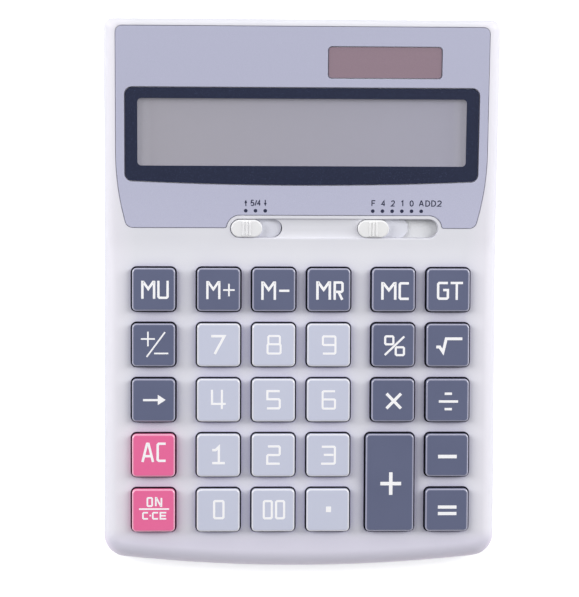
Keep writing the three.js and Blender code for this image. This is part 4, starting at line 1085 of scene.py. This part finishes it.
# %% Sizes of what the tray holds
screw_places = [(-62.6, -86.005), (-60, 86.775), (62.6, -86.005), (60, 86.775)]
foot_places = [(-55, -74.775), (-55, 71.775), (55, -74.775), (55, 71.775)]
shelf_low = 3.4
shelf_high = 5
counter_radius = 2.7
boss_radius = counter_radius + 1
counter_flare = 0.4
screw_hole_radius = 1.5
screw_hole_low, screw_hole_high = 2, 12
foot_radius = 5
pocket_radius = foot_radius + 0.3
pocket_flare = 0.3
pocket_top = 2
tub_x = (-31.7, 26.2)
tub_y = (64.5747, 80.5747)
tub_top = 18.8
tub_wall = 1.5
cover_x = (-33.5, 28)
cover_front = 62.7747
cover_rear = 94.8747
cover_top = 2.8
cover_room_top = 3.1
track_low = 1.8
tongue = 1.5
ceiling_margin = 3.5
ceiling_front = 2
ceiling_top = 4.6


def widened(span, margin):
    return (span[0] - margin, span[1] + margin)


print("battery room:", round(tub_x[1] - tub_x[0], 1), "mm long")

# %% [markdown]
# Walls and bosses are joined on before anything is cut. Then each cut clears the wall and
# the floor together, and no thin skin is left where two shapes only touch.

# %% Battery compartment, screw wells and pockets
root = floor_top - weld
tub = box_tool(
    "tub", widened(tub_x, tub_wall), widened(tub_y, tub_wall), (root, tub_top + tub_wall))
ceiling = box_tool(
    "ceiling", widened(cover_x, ceiling_margin),
    (cover_front - ceiling_front, casing_rear - wall), (root, ceiling_top))
boss_profile = [(boss_radius, root), (boss_radius, shelf_high)]
bosses = turned_at("bosses", screw_places, boss_profile, 40)
carve(lower_housing, [ceiling, tub, bosses], "UNION")

room_y = (cover_front - seat_gap, casing_rear + overrun)
counter_profile = [
    (counter_radius + counter_flare, 0), (counter_radius + counter_flare, foot_height),
    (counter_radius, foot_height + counter_flare), (counter_radius, shelf_low)]
hole_profile = [(screw_hole_radius, screw_hole_low), (screw_hole_radius, screw_hole_high)]
pocket_profile = [
    (pocket_radius + pocket_flare, 0), (pocket_radius + pocket_flare, foot_height),
    (pocket_radius, foot_height + pocket_flare), (pocket_radius, pocket_top)]
carve(lower_housing, [
    box_tool("tub_room", tub_x, tub_y, (0, tub_top)),
    box_tool("cover_room", cover_x, room_y, (0, cover_room_top)),
    box_tool("tongue_room", widened(cover_x, tongue), room_y, (track_low, cover_room_top)),
    turned_at("counters", screw_places, counter_profile, 40),
    turned_at("screw_holes", screw_places, hole_profile, 24),
    turned_at("pockets", foot_places, pocket_profile, 48),
])
dress(lower_housing, shell_plastic)
on_body(lower_housing, "casing", "shell", "lower_housing")
print("lower tray:", len(lower_housing.data.polygons), "faces")

# %% [markdown]
# ## Battery door, feet, screws and cell
#
# These are seen when the calculator is turned over. The door has side tongues that run in the
# tray's track and five finger grooves with soft edges. A groove is cut with a rounded slot
# that narrows as it goes in, so its edges are soft without a bevel.

# %% Battery door
door_x = widened(cover_x, -seat_gap)
door_middle = sum(door_x) / 2
door_corner = 0.8
tongue_z = (cover_top - 0.7, cover_top - 0.1)
grip_count = 5
grip_pitch = 2
grip_setback = 7
grip_half = 7
grip_radius = 0.45
grip_section = [(0.2, 0), (0.2, foot_height), (0, foot_height + 0.2), (-0.15, foot_height + 0.4)]

door_edge = growing(*door_x, cover_front, cover_rear, door_corner, 4)
battery_door = slab("battery_door_plate", door_edge, foot_height, cover_top, 0.15, low_edge=0.25)
tongue_y = (cover_front + door_corner, cover_rear - door_corner)
tongues = box_tool("tongues", widened(door_x, tongue), tongue_y, tongue_z)
carve(battery_door, [tongues], "UNION")


def groove_tool(index):
    y = cover_front + grip_setback + grip_pitch * index
    edge = growing(
        door_middle - grip_half, door_middle + grip_half, y - grip_radius, y + grip_radius,
        grip_radius, 5)
    return loft("groove", [level(edge(grow), height) for grow, height in grip_section])


carve(battery_door, [gathered("grooves", [groove_tool(index) for index in range(grip_count)])])
dress(battery_door, shell_plastic)
on_body(battery_door, "battery_door", "shell", "battery_cover")
print("door:", len(battery_door.data.polygons), "faces")

# %% [markdown]
# The feet are rubber discs with a soft bead round the rim, and the screws have a low head
# with a cross recess. Both are solids of revolution, so a list of radius and height pairs
# says all there is to them. The recess is cut with two blades that taper towards its floor.

# %% Feet and screws
foot_profile = [
    (3.5, 0.25), (3.8, 0.2), (4.0, 0.04), (4.2, 0), (4.5, 0),
    (4.75, 0.08), (4.93, 0.28), (5, 0.5), (5, 1.7)]
screw_profile = [
    (2.0, 1.7), (2.25, 1.78), (2.4, 2.0), (2.4, 3.1), (1.2, 3.1), (1.2, 9.2), (0.3, 9.7)]
recess_section = [(1.2, 1.1), (1.7, 1), (2.5, 0.55)]
blade_long = 1.25
blade_wide = 0.32

for index, (x, y) in enumerate(foot_places, 1):
    rubber_foot = turned(f"rubber_foot_{index}", foot_profile, 56, (x, y, 0))
    dress(rubber_foot, foot_rubber)
    on_body(rubber_foot, "casing", "foot_rubber", f"foot_{index}")


def blade(name, half_x, half_y):
    corners = [(half_x, -half_y), (half_x, half_y), (-half_x, half_y), (-half_x, -half_y)]
    return loft(name, [
        [(x * share, y * share, height) for x, y in corners] for height, share in recess_section])


for index, (x, y) in enumerate(screw_places, 1):
    screw = turned(f"cross_screw_{index}", screw_profile, 40)
    blades = [blade("blade_a", blade_long, blade_wide), blade("blade_b", blade_wide, blade_long)]
    carve(screw, blades)
    screw.data.transform(Matrix.Translation((x, y, 0)))
    dress(screw, sprung_steel)
    on_body(screw, "casing", "spring_steel", f"case_screw_{index}")
print(len(foot_places), "feet and", len(screw_places), "screws")

# %% [markdown]
# The cell is a printed jacket with a bare metal nib at its positive end. It shows only when
# the door is open, but the rear of the casing is built round it, so it has its true size.

# %% Battery cell
cell_middle = (0, 72.5747, 10.8)
jacket_profile = [
    (6.2, -25.2), (6.8, -25.2), (7.05, -25.0), (7.1, -24.7),
    (7.1, 23.5), (7.0, 23.8), (6.6, 24.0), (6.0, 24.0)]
nib_profile = [(5.6, 24.02), (5.6, 24.1), (2.7, 24.15), (2.7, 25.0), (2.5, 25.2)]
cell_body = turned("battery_jacket", jacket_profile, 56, cell_middle, "X")
dress(cell_body, cell_jacket)
on_body(cell_body, "casing", "battery_jacket", "battery")
cell_nib = turned("battery_contact_nib", nib_profile, 40, cell_middle, "X")
dress(cell_nib, sprung_steel)
on_body(cell_nib, "casing", "spring_steel")
cell_length = cell_nib.data.vertices[-1].co.x - cell_body.data.vertices[0].co.x
print("cell length", round(cell_length / MM, 1), "mm")

# %% [markdown]
# ## Keys
#
# A key is a hollow moulded cap. Its sides run down through the well to a flange that stops
# under the skin, so it can't fall out, and a rubber dome pushes it up from below. The rings
# of this skin start inside the cap, run down its inner wall, turn under the rim, and come up
# outside to a top edge that is rounded a little wider than it is deep. That edge catches the
# light as a thin bright line, made brighter by the highlight painted into the key finish,
# which is most of what makes a key look moulded.

# %% Key caps
key_wall = 1.2
key_ceiling = 1.4
key_foot = -3.1
flange_top = -2.3
flange_reach = 0.7
edge_run = 0.8
edge_drop = 0.6
edge_steps = 6
slate_names = [
    "mu", "m_plus", "m_minus", "mr", "mc", "gt", "sign", "percent", "root", "backspace",
    "multiply", "divide", "plus", "minus", "equals"]
rose_names = ["ac", "on"]


def key_plastic(name):
    label = name.removeprefix("key_")
    if label in slate_names:
        return slate_plastic, "slate_key"
    if label in rose_names:
        return rose_plastic, "rose_key"
    return pale_plastic, "pale_key"


def key_cap(name):
    edge = key_edge(name)
    section = [
        (-key_wall, key_rise - key_ceiling), (-key_wall, key_foot), (flange_reach, key_foot),
        (flange_reach, flange_top), (0, flange_top)]
    top_edge = rolled(edge_run, edge_drop, edge_steps)
    section += [(-inset, key_rise + rise) for inset, rise in top_edge]
    return loft(f"cap_{name}", [level(edge(grow), height) for grow, height in section])


for name in key_places:
    plastic, slot_name = key_plastic(name)
    cap = dress(key_cap(name), plastic, key_deck, sharp=40)
    on_body(cap, name, slot_name, name)
print(len(key_places), "key caps")

# %% [markdown]
# ## Legends
#
# The characters are drawn like those of a drafting machine: straight strokes of one width,
# with small cut corners. A legend is therefore not a font here but a few paths on a unit
# square, each made into a ribbon with mitred corners and a very small thickness, as screen
# print has. A point marked with a third value has its corner cut.

# %% Stroke characters
CUT = 1
characters = {
    "0": [[(0, 0, CUT), (1, 0, CUT), (1, 1, CUT), (0, 1, CUT), "closed"]],
    "1": [[(0, 0.8), (0.26, 0.8), (0.52, 1), (0.52, 0)], [(0, 0), (1, 0)]],
    "2": [[(0.05, 1), (1, 1, CUT), (1, 0.5, CUT), (0, 0.5, CUT), (0, 0), (1, 0)]],
    "3": [[(0.05, 1), (1, 1, CUT), (1, 0, CUT), (0, 0)], [(0.2, 0.52), (0.9, 0.52)]],
    "4": [[(0, 1), (0, 0.27), (1, 0.27)], [(0.72, 1), (0.72, 0)]],
    "5": [[(1, 1), (0.03, 1), (0.03, 0.53), (1, 0.53, CUT), (1, 0, CUT), (0, 0)]],
    "6": [[(1, 1), (0, 1, CUT), (0, 0, CUT), (1, 0, CUT), (1, 0.53, CUT), (0.08, 0.53)]],
    "7": [[(0, 1), (1, 1), (0.27, 0)]],
    "8": [[(0, 0, CUT), (1, 0, CUT), (1, 0.53, CUT), (0, 0.53, CUT), "closed"],
        [(0.06, 0.53), (0.06, 1, CUT), (0.94, 1, CUT), (0.94, 0.53)]],
    "9": [[(0, 0), (1, 0, CUT), (1, 1, CUT), (0, 1, CUT), (0, 0.5, CUT), (0.92, 0.5)]],
    "A": [[(0, 0), (0.43, 1), (0.57, 1), (1, 0)], [(0.18, 0.32), (0.82, 0.32)]],
    "C": [[(1, 1), (0, 1, CUT), (0, 0, CUT), (1, 0)]],
    "E": [[(1, 1), (0, 1), (0, 0), (1, 0)], [(0.08, 0.5), (0.92, 0.5)]],
    "G": [[(1, 1), (0, 1, CUT), (0, 0, CUT), (1, 0, CUT), (1, 0.55), (0.52, 0.55)]],
    "M": [[(0, 0), (0, 1), (0.08, 1), (0.5, 0.58), (0.92, 1), (1, 1), (1, 0)]],
    "N": [[(0, 0), (0, 1), (0.12, 1), (0.88, 0), (1, 0), (1, 1)]],
    "R": [[(0, 0), (0, 1), (1, 1, CUT), (1, 0.46, CUT), (0.08, 0.46)],
        [(0.48, 0.46), (0.98, 0)]],
    "T": [[(0, 1), (1, 1)], [(0.5, 0.96), (0.5, 0)]],
    "U": [[(0, 1), (0, 0, CUT), (1, 0, CUT), (1, 1)]],
    "minus": [[(0, 0.5), (1, 0.5)]],
    "plus": [[(0, 0.5), (1, 0.5)], [(0.5, 0), (0.5, 1)]],
    "times": [[(0, 0), (1, 1)], [(0, 1), (1, 0)]],
    "slash": [[(0, 0), (1, 1)]],
    "ring": [[(0, 0, CUT), (1, 0, CUT), (1, 1, CUT), (0, 1, CUT), "closed"]],
    "root": [[(0, 0.4), (0.13, 0.4), (0.26, 0.02), (0.38, 1), (1, 1)]],
}
print(len(characters), "characters")

# %% [markdown]
# A stroke is a ribbon along its path. At a bend its two sides have to meet on the bisector,
# and further out the sharper the bend is, which is what a mitre does. A marked corner is
# first swapped for two points close together, so the ribbon goes round it in two soft bends.

# %% Strokes as ribbons
cut_reach = 0.45
largest_cut = 0.45
mitre_limit = 0.4


def with_cuts(points, cut):
    """Swaps each marked corner for two points, a cut's length before it and after it."""
    done = []
    count = len(points)
    for i, (point, marked) in enumerate(points):
        if not marked:
            done.append(point)
            continue
        for other in (points[i - 1][0], points[(i + 1) % count][0]):
            share = min(cut / math.dist(point, other), largest_cut)
            done.append(tuple(a + (b - a) * share for a, b in zip(point, other)))
    return done


def mitred(points, closed):
    """For each point, the way and distance from it to the edge of a ribbon one wide each way."""
    reaches = []
    for i, point in enumerate(points):
        before = points[i - 1] if closed or i > 0 else None
        after = points[(i + 1) % len(points)] if closed or i + 1 < len(points) else None
        sides = []
        for start, end in ((before, point), (point, after)):
            if start and end:
                across_it = Vector((start[1] - end[1], end[0] - start[0]))
                sides.append(across_it / math.dist(start, end))
        bisector = (sides[0] + sides[-1]).normalized()
        reaches.append(bisector / max(bisector.dot(sides[0]), mitre_limit))
    return reaches


def ribbon(points, stroke, low, high, closed):
    """Points and faces of a flat stroke along a path, standing from low to high."""
    corners = []
    for (x, y), reach in zip(points, mitred(points, closed)):
        side = reach * (stroke / 2)
        corners += [(x + side.x, y + side.y, low), (x + side.x, y + side.y, high),
            (x - side.x, y - side.y, high), (x - side.x, y - side.y, low)]
    faces = skin_faces(4, len(points))
    if closed:
        last = len(corners) - 4
        faces = faces[:-2]
        faces += [(last + i, last + (i + 1) % 4, (i + 1) % 4, i) for i in range(4)]
    return corners, faces


print("a bent stroke has", len(ribbon([(0, 0), (1, 0), (1, 1)], 0.1, 0, 1, False)[1]), "faces")

# %% [markdown]
# Ink stands on its key as a layer a few hundredths of a millimetre thick. Where the strokes
# of one character cross, each further stroke is a little thinner, so that their tops never
# lie in the same plane, which would flicker.

# %% Printed characters
ink_sink = 0.01
ink_step = 0.2
roomy = 1.2


def added(corners, faces, more_corners, more_faces):
    """Adds a further closed shape to a list of corners and faces."""
    start = len(corners)
    corners += more_corners
    faces += [tuple(start + i for i in face) for face in more_faces]


def stamped(corners, faces, outline, height, thickness):
    """Adds a filled outline as a thin layer of ink, such as a dot or the head of an arrow."""
    layer = level(outline, height - ink_sink) + level(outline, height + thickness)
    added(corners, faces, layer, skin_faces(len(outline), 2))


def drawn(marks, height, thickness=0.03, alphabet=characters):
    """Corners and faces of printed characters, each given by its name, sides and stroke."""
    corners, faces = [], []
    for character, left, right, low, high, stroke in marks:
        half = stroke / 2
        thin = character in ("minus", "plus") or right - left <= stroke * roomy
        flat = character == "plus" or high - low <= stroke * roomy
        inset_x, inset_y = 0 if thin else half, 0 if flat else half
        width, length = right - left - 2 * inset_x, high - low - 2 * inset_y
        for order, path in enumerate(alphabet[character]):
            closed = path[-1] == "closed"
            top = height + thickness * (1 - ink_step * order)
            marked = [
                ((left + inset_x + corner[0] * width, low + inset_y + corner[1] * length),
                    len(corner) > 2)
                for corner in path if corner != "closed"]
            points = with_cuts(marked, cut_reach * stroke)
            added(corners, faces, *ribbon(points, stroke, height - ink_sink, top, closed))
    return corners, faces


print("a plus sign has", len(drawn([("plus", 0, 1, 0, 1, 0.2)], 0)[1]), "faces")

# %% [markdown]
# Where each character stands on its key is measured from the middle of the key, in
# millimetres: left, right, low and high side, then the width of its stroke. The arrow of the
# step-back key has a solid head, which is a small prism of its own.

# %% Key legends
legends = {
    "key_mu": [("M", -4.38, 0.60, -3.68, 3.11, 0.86), ("U", 1.28, 5.34, -3.31, 3.52, 0.82)],
    "key_m_plus": [("M", -4.39, 0.61, -3.75, 3.04, 0.8), ("plus", 1.58, 5.66, -2.33, 2.08, 0.57)],
    "key_m_minus": [("M", -4.46, 0.77, -3.98, 2.95, 0.86), ("minus", 1.86, 5.48, -0.74, 0.06, 0.8)],
    "key_mr": [("M", -4.52, 0.76, -3.92, 3.05, 0.9), ("R", 1.62, 5.23, -3.92, 3.05, 0.85)],
    "key_mc": [("M", -4.41, 1.03, -3.88, 2.81, 0.9), ("C", 1.76, 5.85, -3.55, 2.81, 0.85)],
    "key_gt": [("G", -4.08, 0.24, -3.46, 2.95, 0.85), ("T", 0.36, 5.59, -3.86, 2.95, 0.82)],
    "key_sign": [
        ("plus", -4.48, 0.50, -0.44, 4.74, 0.55), ("slash", -2.72, 4.32, -4.48, 4.87, 0.55),
        ("minus", 0.21, 5.20, -3.28, -2.67, 0.55)],
    "key_7": [("7", -3.05, 2.48, -3.60, 3.60, 0.88)],
    "key_8": [("8", -2.53, 2.82, -3.34, 3.58, 0.71)],
    "key_9": [("9", -2.42, 2.78, -3.36, 3.48, 0.74)],
    "key_percent": [
        ("ring", -3.25, 0.41, -0.05, 3.55, 0.75), ("slash", -3.36, 4.3, -3.84, 3.5, 0.72),
        ("ring", 0.53, 4.20, -3.89, -0.34, 0.75)],
    "key_root": [("root", -4.66, 5.62, -3.05, 2.82, 1.0)],
    "key_backspace": [("minus", -3.72, 2.10, -0.34, 0.53, 0.75)],
    "key_4": [("4", -2.66, 2.96, -3.49, 4.15, 0.75)],
    "key_5": [("5", -2.70, 2.60, -3.24, 3.67, 0.77)],
    "key_6": [("6", -2.42, 2.72, -3.31, 3.59, 0.72)],
    "key_multiply": [("times", -2.78, 3.41, -3.41, 2.92, 1.04)],
    "key_divide": [
        ("minus", -1.04, 1.57, 1.96, 2.77, 0.85), ("minus", -3.13, 3.78, -0.82, -0.01, 0.85),
        ("minus", -1.04, 1.57, -3.54, -2.73, 0.85)],
    "key_ac": [("A", -4.33, 0.25, -2.70, 4.62, 0.85), ("C", 1.05, 4.72, -2.29, 4.65, 0.85)],
    "key_1": [("1", -2.58, 2.77, -3.15, 3.50, 0.86)],
    "key_2": [("2", -2.53, 2.68, -3.34, 3.61, 0.78)],
    "key_3": [("3", -2.89, 2.79, -3.36, 3.47, 0.77)],
    "key_plus": [("plus", -3.33, 4.11, -4.36, 3.73, 1.25)],
    "key_minus": [("minus", -3.22, 3.46, -1.28, 0.34, 1.25)],
    "key_on": [
        ("0", -2.46, -0.17, 1.31, 4.83, 0.6), ("N", 0.52, 3.10, 1.31, 4.83, 0.6),
        ("minus", -5.16, 5.57, 0.22, 0.86, 0.55), ("C", -4.00, -1.66, -3.21, -0.48, 0.55),
        ("minus", -1.40, -0.86, -2.07, -1.49, 0.55), ("C", -0.52, 1.90, -3.21, -0.48, 0.55),
        ("E", 2.18, 4.80, -3.21, -0.48, 0.55)],
    "key_0": [("0", -1.85, 2.27, -3.17, 3.74, 0.79)],
    "key_00": [("0", -3.69, -0.07, -3.25, 3.67, 0.76), ("0", 0.69, 4.30, -3.25, 3.67, 0.76)],
    "key_point": [("minus", -0.68, 1.15, -0.60, 1.24, 2.0)],
    "key_equals": [
        ("minus", -3.14, 3.52, 0.40, 1.68, 1.14), ("minus", -3.14, 3.52, -1.92, -0.65, 1.14)],
}
print("legends for", len(legends), "keys")

# %% [markdown]
# A name, four sides and a stroke are all that it takes to draw a character, so one loop
# prints every key. A legend is a piece of its own, since ink and plastic are different
# materials, and it rides on the same body as its key.

# %% Legends on their keys
step_back_head = [(1.5, -1.67), (4.27, 0.15), (1.5, 1.97)]
for name, marks in legends.items():
    x, y, width, length = key_places[name]
    corners, faces = drawn(marks, key_rise)
    if name == "key_backspace":
        stamped(corners, faces, step_back_head, key_rise, 0.035)
    legend = new_piece(f"legend_{name}", [(x + a, y + b, c) for a, b, c in corners], faces)
    dress(legend, white_ink, key_deck)
    on_body(legend, name, key_plastic(name)[1])
print(len(legends), "legends")

# %% [markdown]
# ## Faceplate and windows
#
# The plate is a satin sheet with a soft edge, set into the casing so that it stands only
# 0.2 mm proud. It has two openings. The larger one holds the display window, whose navy
# border leaves a clear view of the display below. The smaller one holds the tinted window
# over the solar cell.

# %% Faceplate
plate_floor = plate_proud - plate_thickness
glass_gap = 0.3
plate_spread = 0.12
plate_outer = grown(plate_edge, plate_spread)
plate = slab("satin_faceplate", plate_outer, plate_floor, plate_proud, 0.18)
carve(plate, [
    hole_tool(f"{name}_cut", grown(edge, glass_gap), cut_below, plate_proud, flare=0.12)
    for name, edge in (("window", window_edge), ("solar", solar_edge))])
dress(plate, plate_sheet, display_deck)
on_body(plate, "casing", "faceplate", "faceplate")
print("plate:", len(plate.data.polygons), "faces")

# %% [markdown]
# The navy ink is a frame behind the clear sheet, so it is a plate of its own here with the
# clear pane set into it. Two pieces are simpler than one pane with a mask, and the border
# between ink and clear sheet stays perfectly sharp.

# %% Windows
window_top = -window_sunk
pane_gap = 0.03
pane_sunk = 0.08
border = slab("navy_window_border", window_edge, plate_floor, window_top, 0.15)
carve(border, [hole_tool("view_cut", view_edge, cut_below, window_top, flare=0.08)])
dress(border, navy_print, display_deck)
on_body(border, "casing", "display_window", "display_window")

pane_edge = grown(view_edge, -pane_gap)
pane = slab("clear_window_pane", pane_edge, plate_floor, window_top - pane_sunk, 0.05, steps=2)
dress(pane, clear_sheet, display_deck)
on_body(pane, "casing", "display_window")

solar_pane = slab("solar_window_pane", solar_edge, plate_floor, window_top, 0.15)
dress(solar_pane, solar_tint, display_deck)
on_body(solar_pane, "casing", "solar_window", "solar_window")
print("window", round(2 * window_half, 1), "mm wide")

# %% [markdown]
# ## Slide switches
#
# Each switch is a pale knob with three grip ribs. It stands on a long shutter, a shade
# darker, that slides under the skin and hides the slot on both sides of the knob. The scale
# printed on the plate above says what each position does.

# %% Switch knobs and shutters
knob_rise = 0.5
knob_bevel = 0.5
rib_pitch = 1.15
rib_half = 0.33
rib_reach = 2.6
rib_corner = 0.25
rib_rise = 0.4
rib_edge = 0.3
shutter_high = -2.3
shutter_low = -3.2
shutter_half = 12.4
shutter_reach = 4.05
shutter_gap = 0.02


def rib(x):
    edge = growing(
        x - rib_half, x + rib_half, switch_line - rib_reach, switch_line + rib_reach,
        rib_corner, 5)
    return slab("rib", edge, 0, knob_rise + rib_rise, rib_edge, steps=4)


def knob(name, centre):
    half = knob_length / 2
    edge = slot_edge(centre - half, centre + half, knob_width / 2)
    made = slab(name, edge, shutter_high, knob_rise, knob_bevel, steps=5)
    ribs = [rib(centre + index * rib_pitch) for index in (-1, 0, 1)]
    return carve(made, ribs, "UNION")


for name, (centre, travel_steps) in knob_travels.items():
    body = f"{name}_slider"
    made = dress(knob(f"{name}_knob", centre), knob_plastic, display_deck, sharp=50)
    on_body(made, body, "switch_knob", f"{name}_switch")
    edge = slot_edge(centre - shutter_half, centre + shutter_half, shutter_reach)
    shutter = slab(f"{name}_shutter", edge, shutter_low, shutter_high - shutter_gap, 0.2)
    dress(shutter, shutter_plastic, display_deck)
    on_body(shutter, body, "switch_knob")
print(len(knob_travels), "knobs on shutters")

# %% [markdown]
# The scale on the plate is a round dot at each place where a knob can stop, with a character
# over each. Its lettering is rounder and finer than on the keys, so it has a small alphabet
# of its own, drawn with the same strokes.

# %% Characters of the scale
scale_characters = {
    "5": [[(0.92, 1), (0.2, 1), (0.08, 0.5), (0.45, 0.62), (0.82, 0.56), (1, 0.32),
        (0.85, 0.07), (0.45, 0), (0.02, 0.14)]],
    "4": [[(0.74, 0), (0.74, 1), (0, 0.32), (1, 0.32)]],
    "2": [[(0.04, 0.74), (0.2, 0.95), (0.5, 1), (0.85, 0.92), (0.95, 0.7), (0.72, 0.42),
        (0, 0), (1, 0)]],
    "1": [[(0.12, 0.76), (0.55, 1), (0.55, 0)]],
    "0": [[(0.5, 0), (0.14, 0.13), (0, 0.5), (0.14, 0.87), (0.5, 1), (0.86, 0.87), (1, 0.5),
        (0.86, 0.13), "closed"]],
    "A": [[(0, 0), (0.44, 1), (0.56, 1), (1, 0)], [(0.2, 0.33), (0.8, 0.33)]],
    "D": [[(0, 0), (0, 1), (0.5, 1), (0.86, 0.85), (1, 0.5), (0.86, 0.15), (0.5, 0), "closed"]],
    "F": [[(1, 1), (0, 1), (0, 0)], [(0.05, 0.53), (0.86, 0.53)]],
    "slash": [[(0, 0), (1, 1)]],
}
print(len(scale_characters), "characters for the scale")

# %% [markdown]
# Dots and characters lie on the plate as one layer of ink, two hundredths of a millimetre
# thick. It starts a little below the plate's surface, so that the two never share a face,
# which would flicker.

# %% Printed scale
dot_y = 13.1
dot_radius = 0.65
scale_ink = 0.02
rounding_dots = [-19.75 + switch_step * step for step in range(3)]
decimal_dots = [25.2 + switch_step * step for step in range(6)]
corners, faces = [], []
for x in rounding_dots + decimal_dots:
    dot = arc(x, dot_y, dot_radius, 0, 4, 28)[:-1]
    stamped(corners, faces, dot, plate_proud, scale_ink)
dots = new_piece("scale_dots", corners, faces)
dress(dots, navy_ink, display_deck)
on_body(dots, "casing", "faceplate")

label_low, label_high = 14.75, 17.0
label_stroke = 0.36
first_dot, middle_dot, last_dot = rounding_dots
labels_at = [("5", middle_dot - 1.12, 1.4), ("slash", middle_dot + 0.1, 0.95)]
labels_at += [("4", middle_dot + 1.2, 1.4)]
labels_at += [(character, x + 0.25, 1.5) for character, x in zip("F421", decimal_dots)]
labels_at += [("0", decimal_dots[4], 1.5)]
add_mode = zip("ADD2", (0, 2.3, 4.4, 6.45))
labels_at += [(character, decimal_dots[5] + shift, 1.75) for character, shift in add_mode]
marks = [
    (character, x - width / 2, x + width / 2, label_low, label_high, label_stroke)
    for character, x, width in labels_at]
corners, faces = drawn(marks, plate_proud, scale_ink, scale_characters)
middle = (label_low + label_high) / 2
for x, way in ((first_dot, 1), (last_dot, -1)):
    shaft = [(x, middle - way * 1.1), (x, middle + way * 0.1)]
    ink = (plate_proud - ink_sink, plate_proud + scale_ink)
    added(corners, faces, *ribbon(shaft, label_stroke, *ink, closed=False))
    tip = [(x - way * 0.5, middle), (x + way * 0.5, middle), (x, middle + way * 1.15)]
    stamped(corners, faces, tip, plate_proud, scale_ink)
labels = new_piece("scale_labels", corners, faces)
dress(labels, navy_ink, display_deck)
on_body(labels, "casing", "faceplate")
print("scale:", len(marks), "characters and 2 arrows")

# %% [markdown]
# ## The parts inside
#
# The display glass, circuit board, keypad and leads are already right in shape in the CAD
# model. They keep their CAD meshes, and each only gets its finish.

# %% Finishes for the parts that stay as they are
kept_finishes = {
    "lcd_panel": display_field,
    "lcd_frame": inner_plastic,
    "switch_guide": inner_plastic,
    "solar_cell": dark_cell,
    "display_ribbon": amber_film,
    "circuit_board": solder_mask,
    "rubber_keypad": keypad_silicone,
    "rounding_wiper": sprung_steel,
    "decimal_wiper": sprung_steel,
    "battery_spring": sprung_steel,
    "battery_plate": sprung_steel,
    "positive_lead": red_sleeve,
    "solar_lead": red_sleeve,
    "negative_lead": black_sleeve,
}
for name, finish in kept_finishes.items():
    node = nodes[name]
    node.data.materials.clear()
    node.data.materials.append(finish.material)
print(len(kept_finishes), "CAD nodes dressed")

# %% [markdown]
# ## Floor and light
#
# The calculator lies on plain white. Light comes mostly from two wide panels at the left and
# right, so the valleys between neighbouring keys fall into soft shade while those between
# rows stay bright. A weaker panel behind the display gives the thin light on the rear edge of
# each key, and a white surround fills the rest.

# %% Studio
white = tint(255, 255, 255)
floor_finish = Finish("white_table", white, roughness=0.7, emission_strength=0.45)
floor_finish.wear("Emission Color", white)
floor_grain = noise(floor_finish, 1.5)
floor_finish.wear("Base Color", blend(floor_finish, floor_grain, tint(252, 252, 254), white))
floor_half = 1500
floor_corners = [
    (-floor_half, -floor_half), (floor_half, -floor_half),
    (floor_half, floor_half), (-floor_half, floor_half)]
floor = new_piece("white_floor", level(floor_corners, 0), [(0, 1, 2, 3)])
floor.data.transform(table_frame)
floor.data.materials.append(floor_finish.material)
floor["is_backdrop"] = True

world = bpy.data.worlds.new("white_surround")
world.use_nodes = True
surround = world.node_tree.nodes["Background"].inputs
surround["Color"].default_value = white
surround["Strength"].default_value = 0.22
bpy.context.scene.world = world


def light_panel(name, place, size, power):
    data = bpy.data.lights.new(name, "AREA")
    data.shape = "RECTANGLE"
    data.size, data.size_y = size
    data.energy = power
    panel = bpy.data.objects.new(name, data)
    panel.location = place
    panel.rotation_euler = (-Vector(place)).to_track_quat("-Z", "Y").to_euler()
    bpy.context.scene.collection.objects.link(panel)


light_panel("left_panel", (-1.05, 0.32, 0.7), (0.6, 1.3), 12.1)
light_panel("right_panel", (1.05, 0.32, 0.7), (0.6, 1.3), 12.6)
light_panel("rear_panel", (0, 1.2, 0.55), (1.6, 0.3), 2)
print("floor and 3 light panels")

# %% Sizes and finish
bpy.context.view_layer.update()
low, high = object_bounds()
sizes = {
    "cad": [list(cad_low), list(cad_high)],
    "visual": [list(low), list(high)],
}
for box, ends in sizes.items():
    print(box, "box in mm:", [[round(value / MM, 2) for value in end] for end in ends])
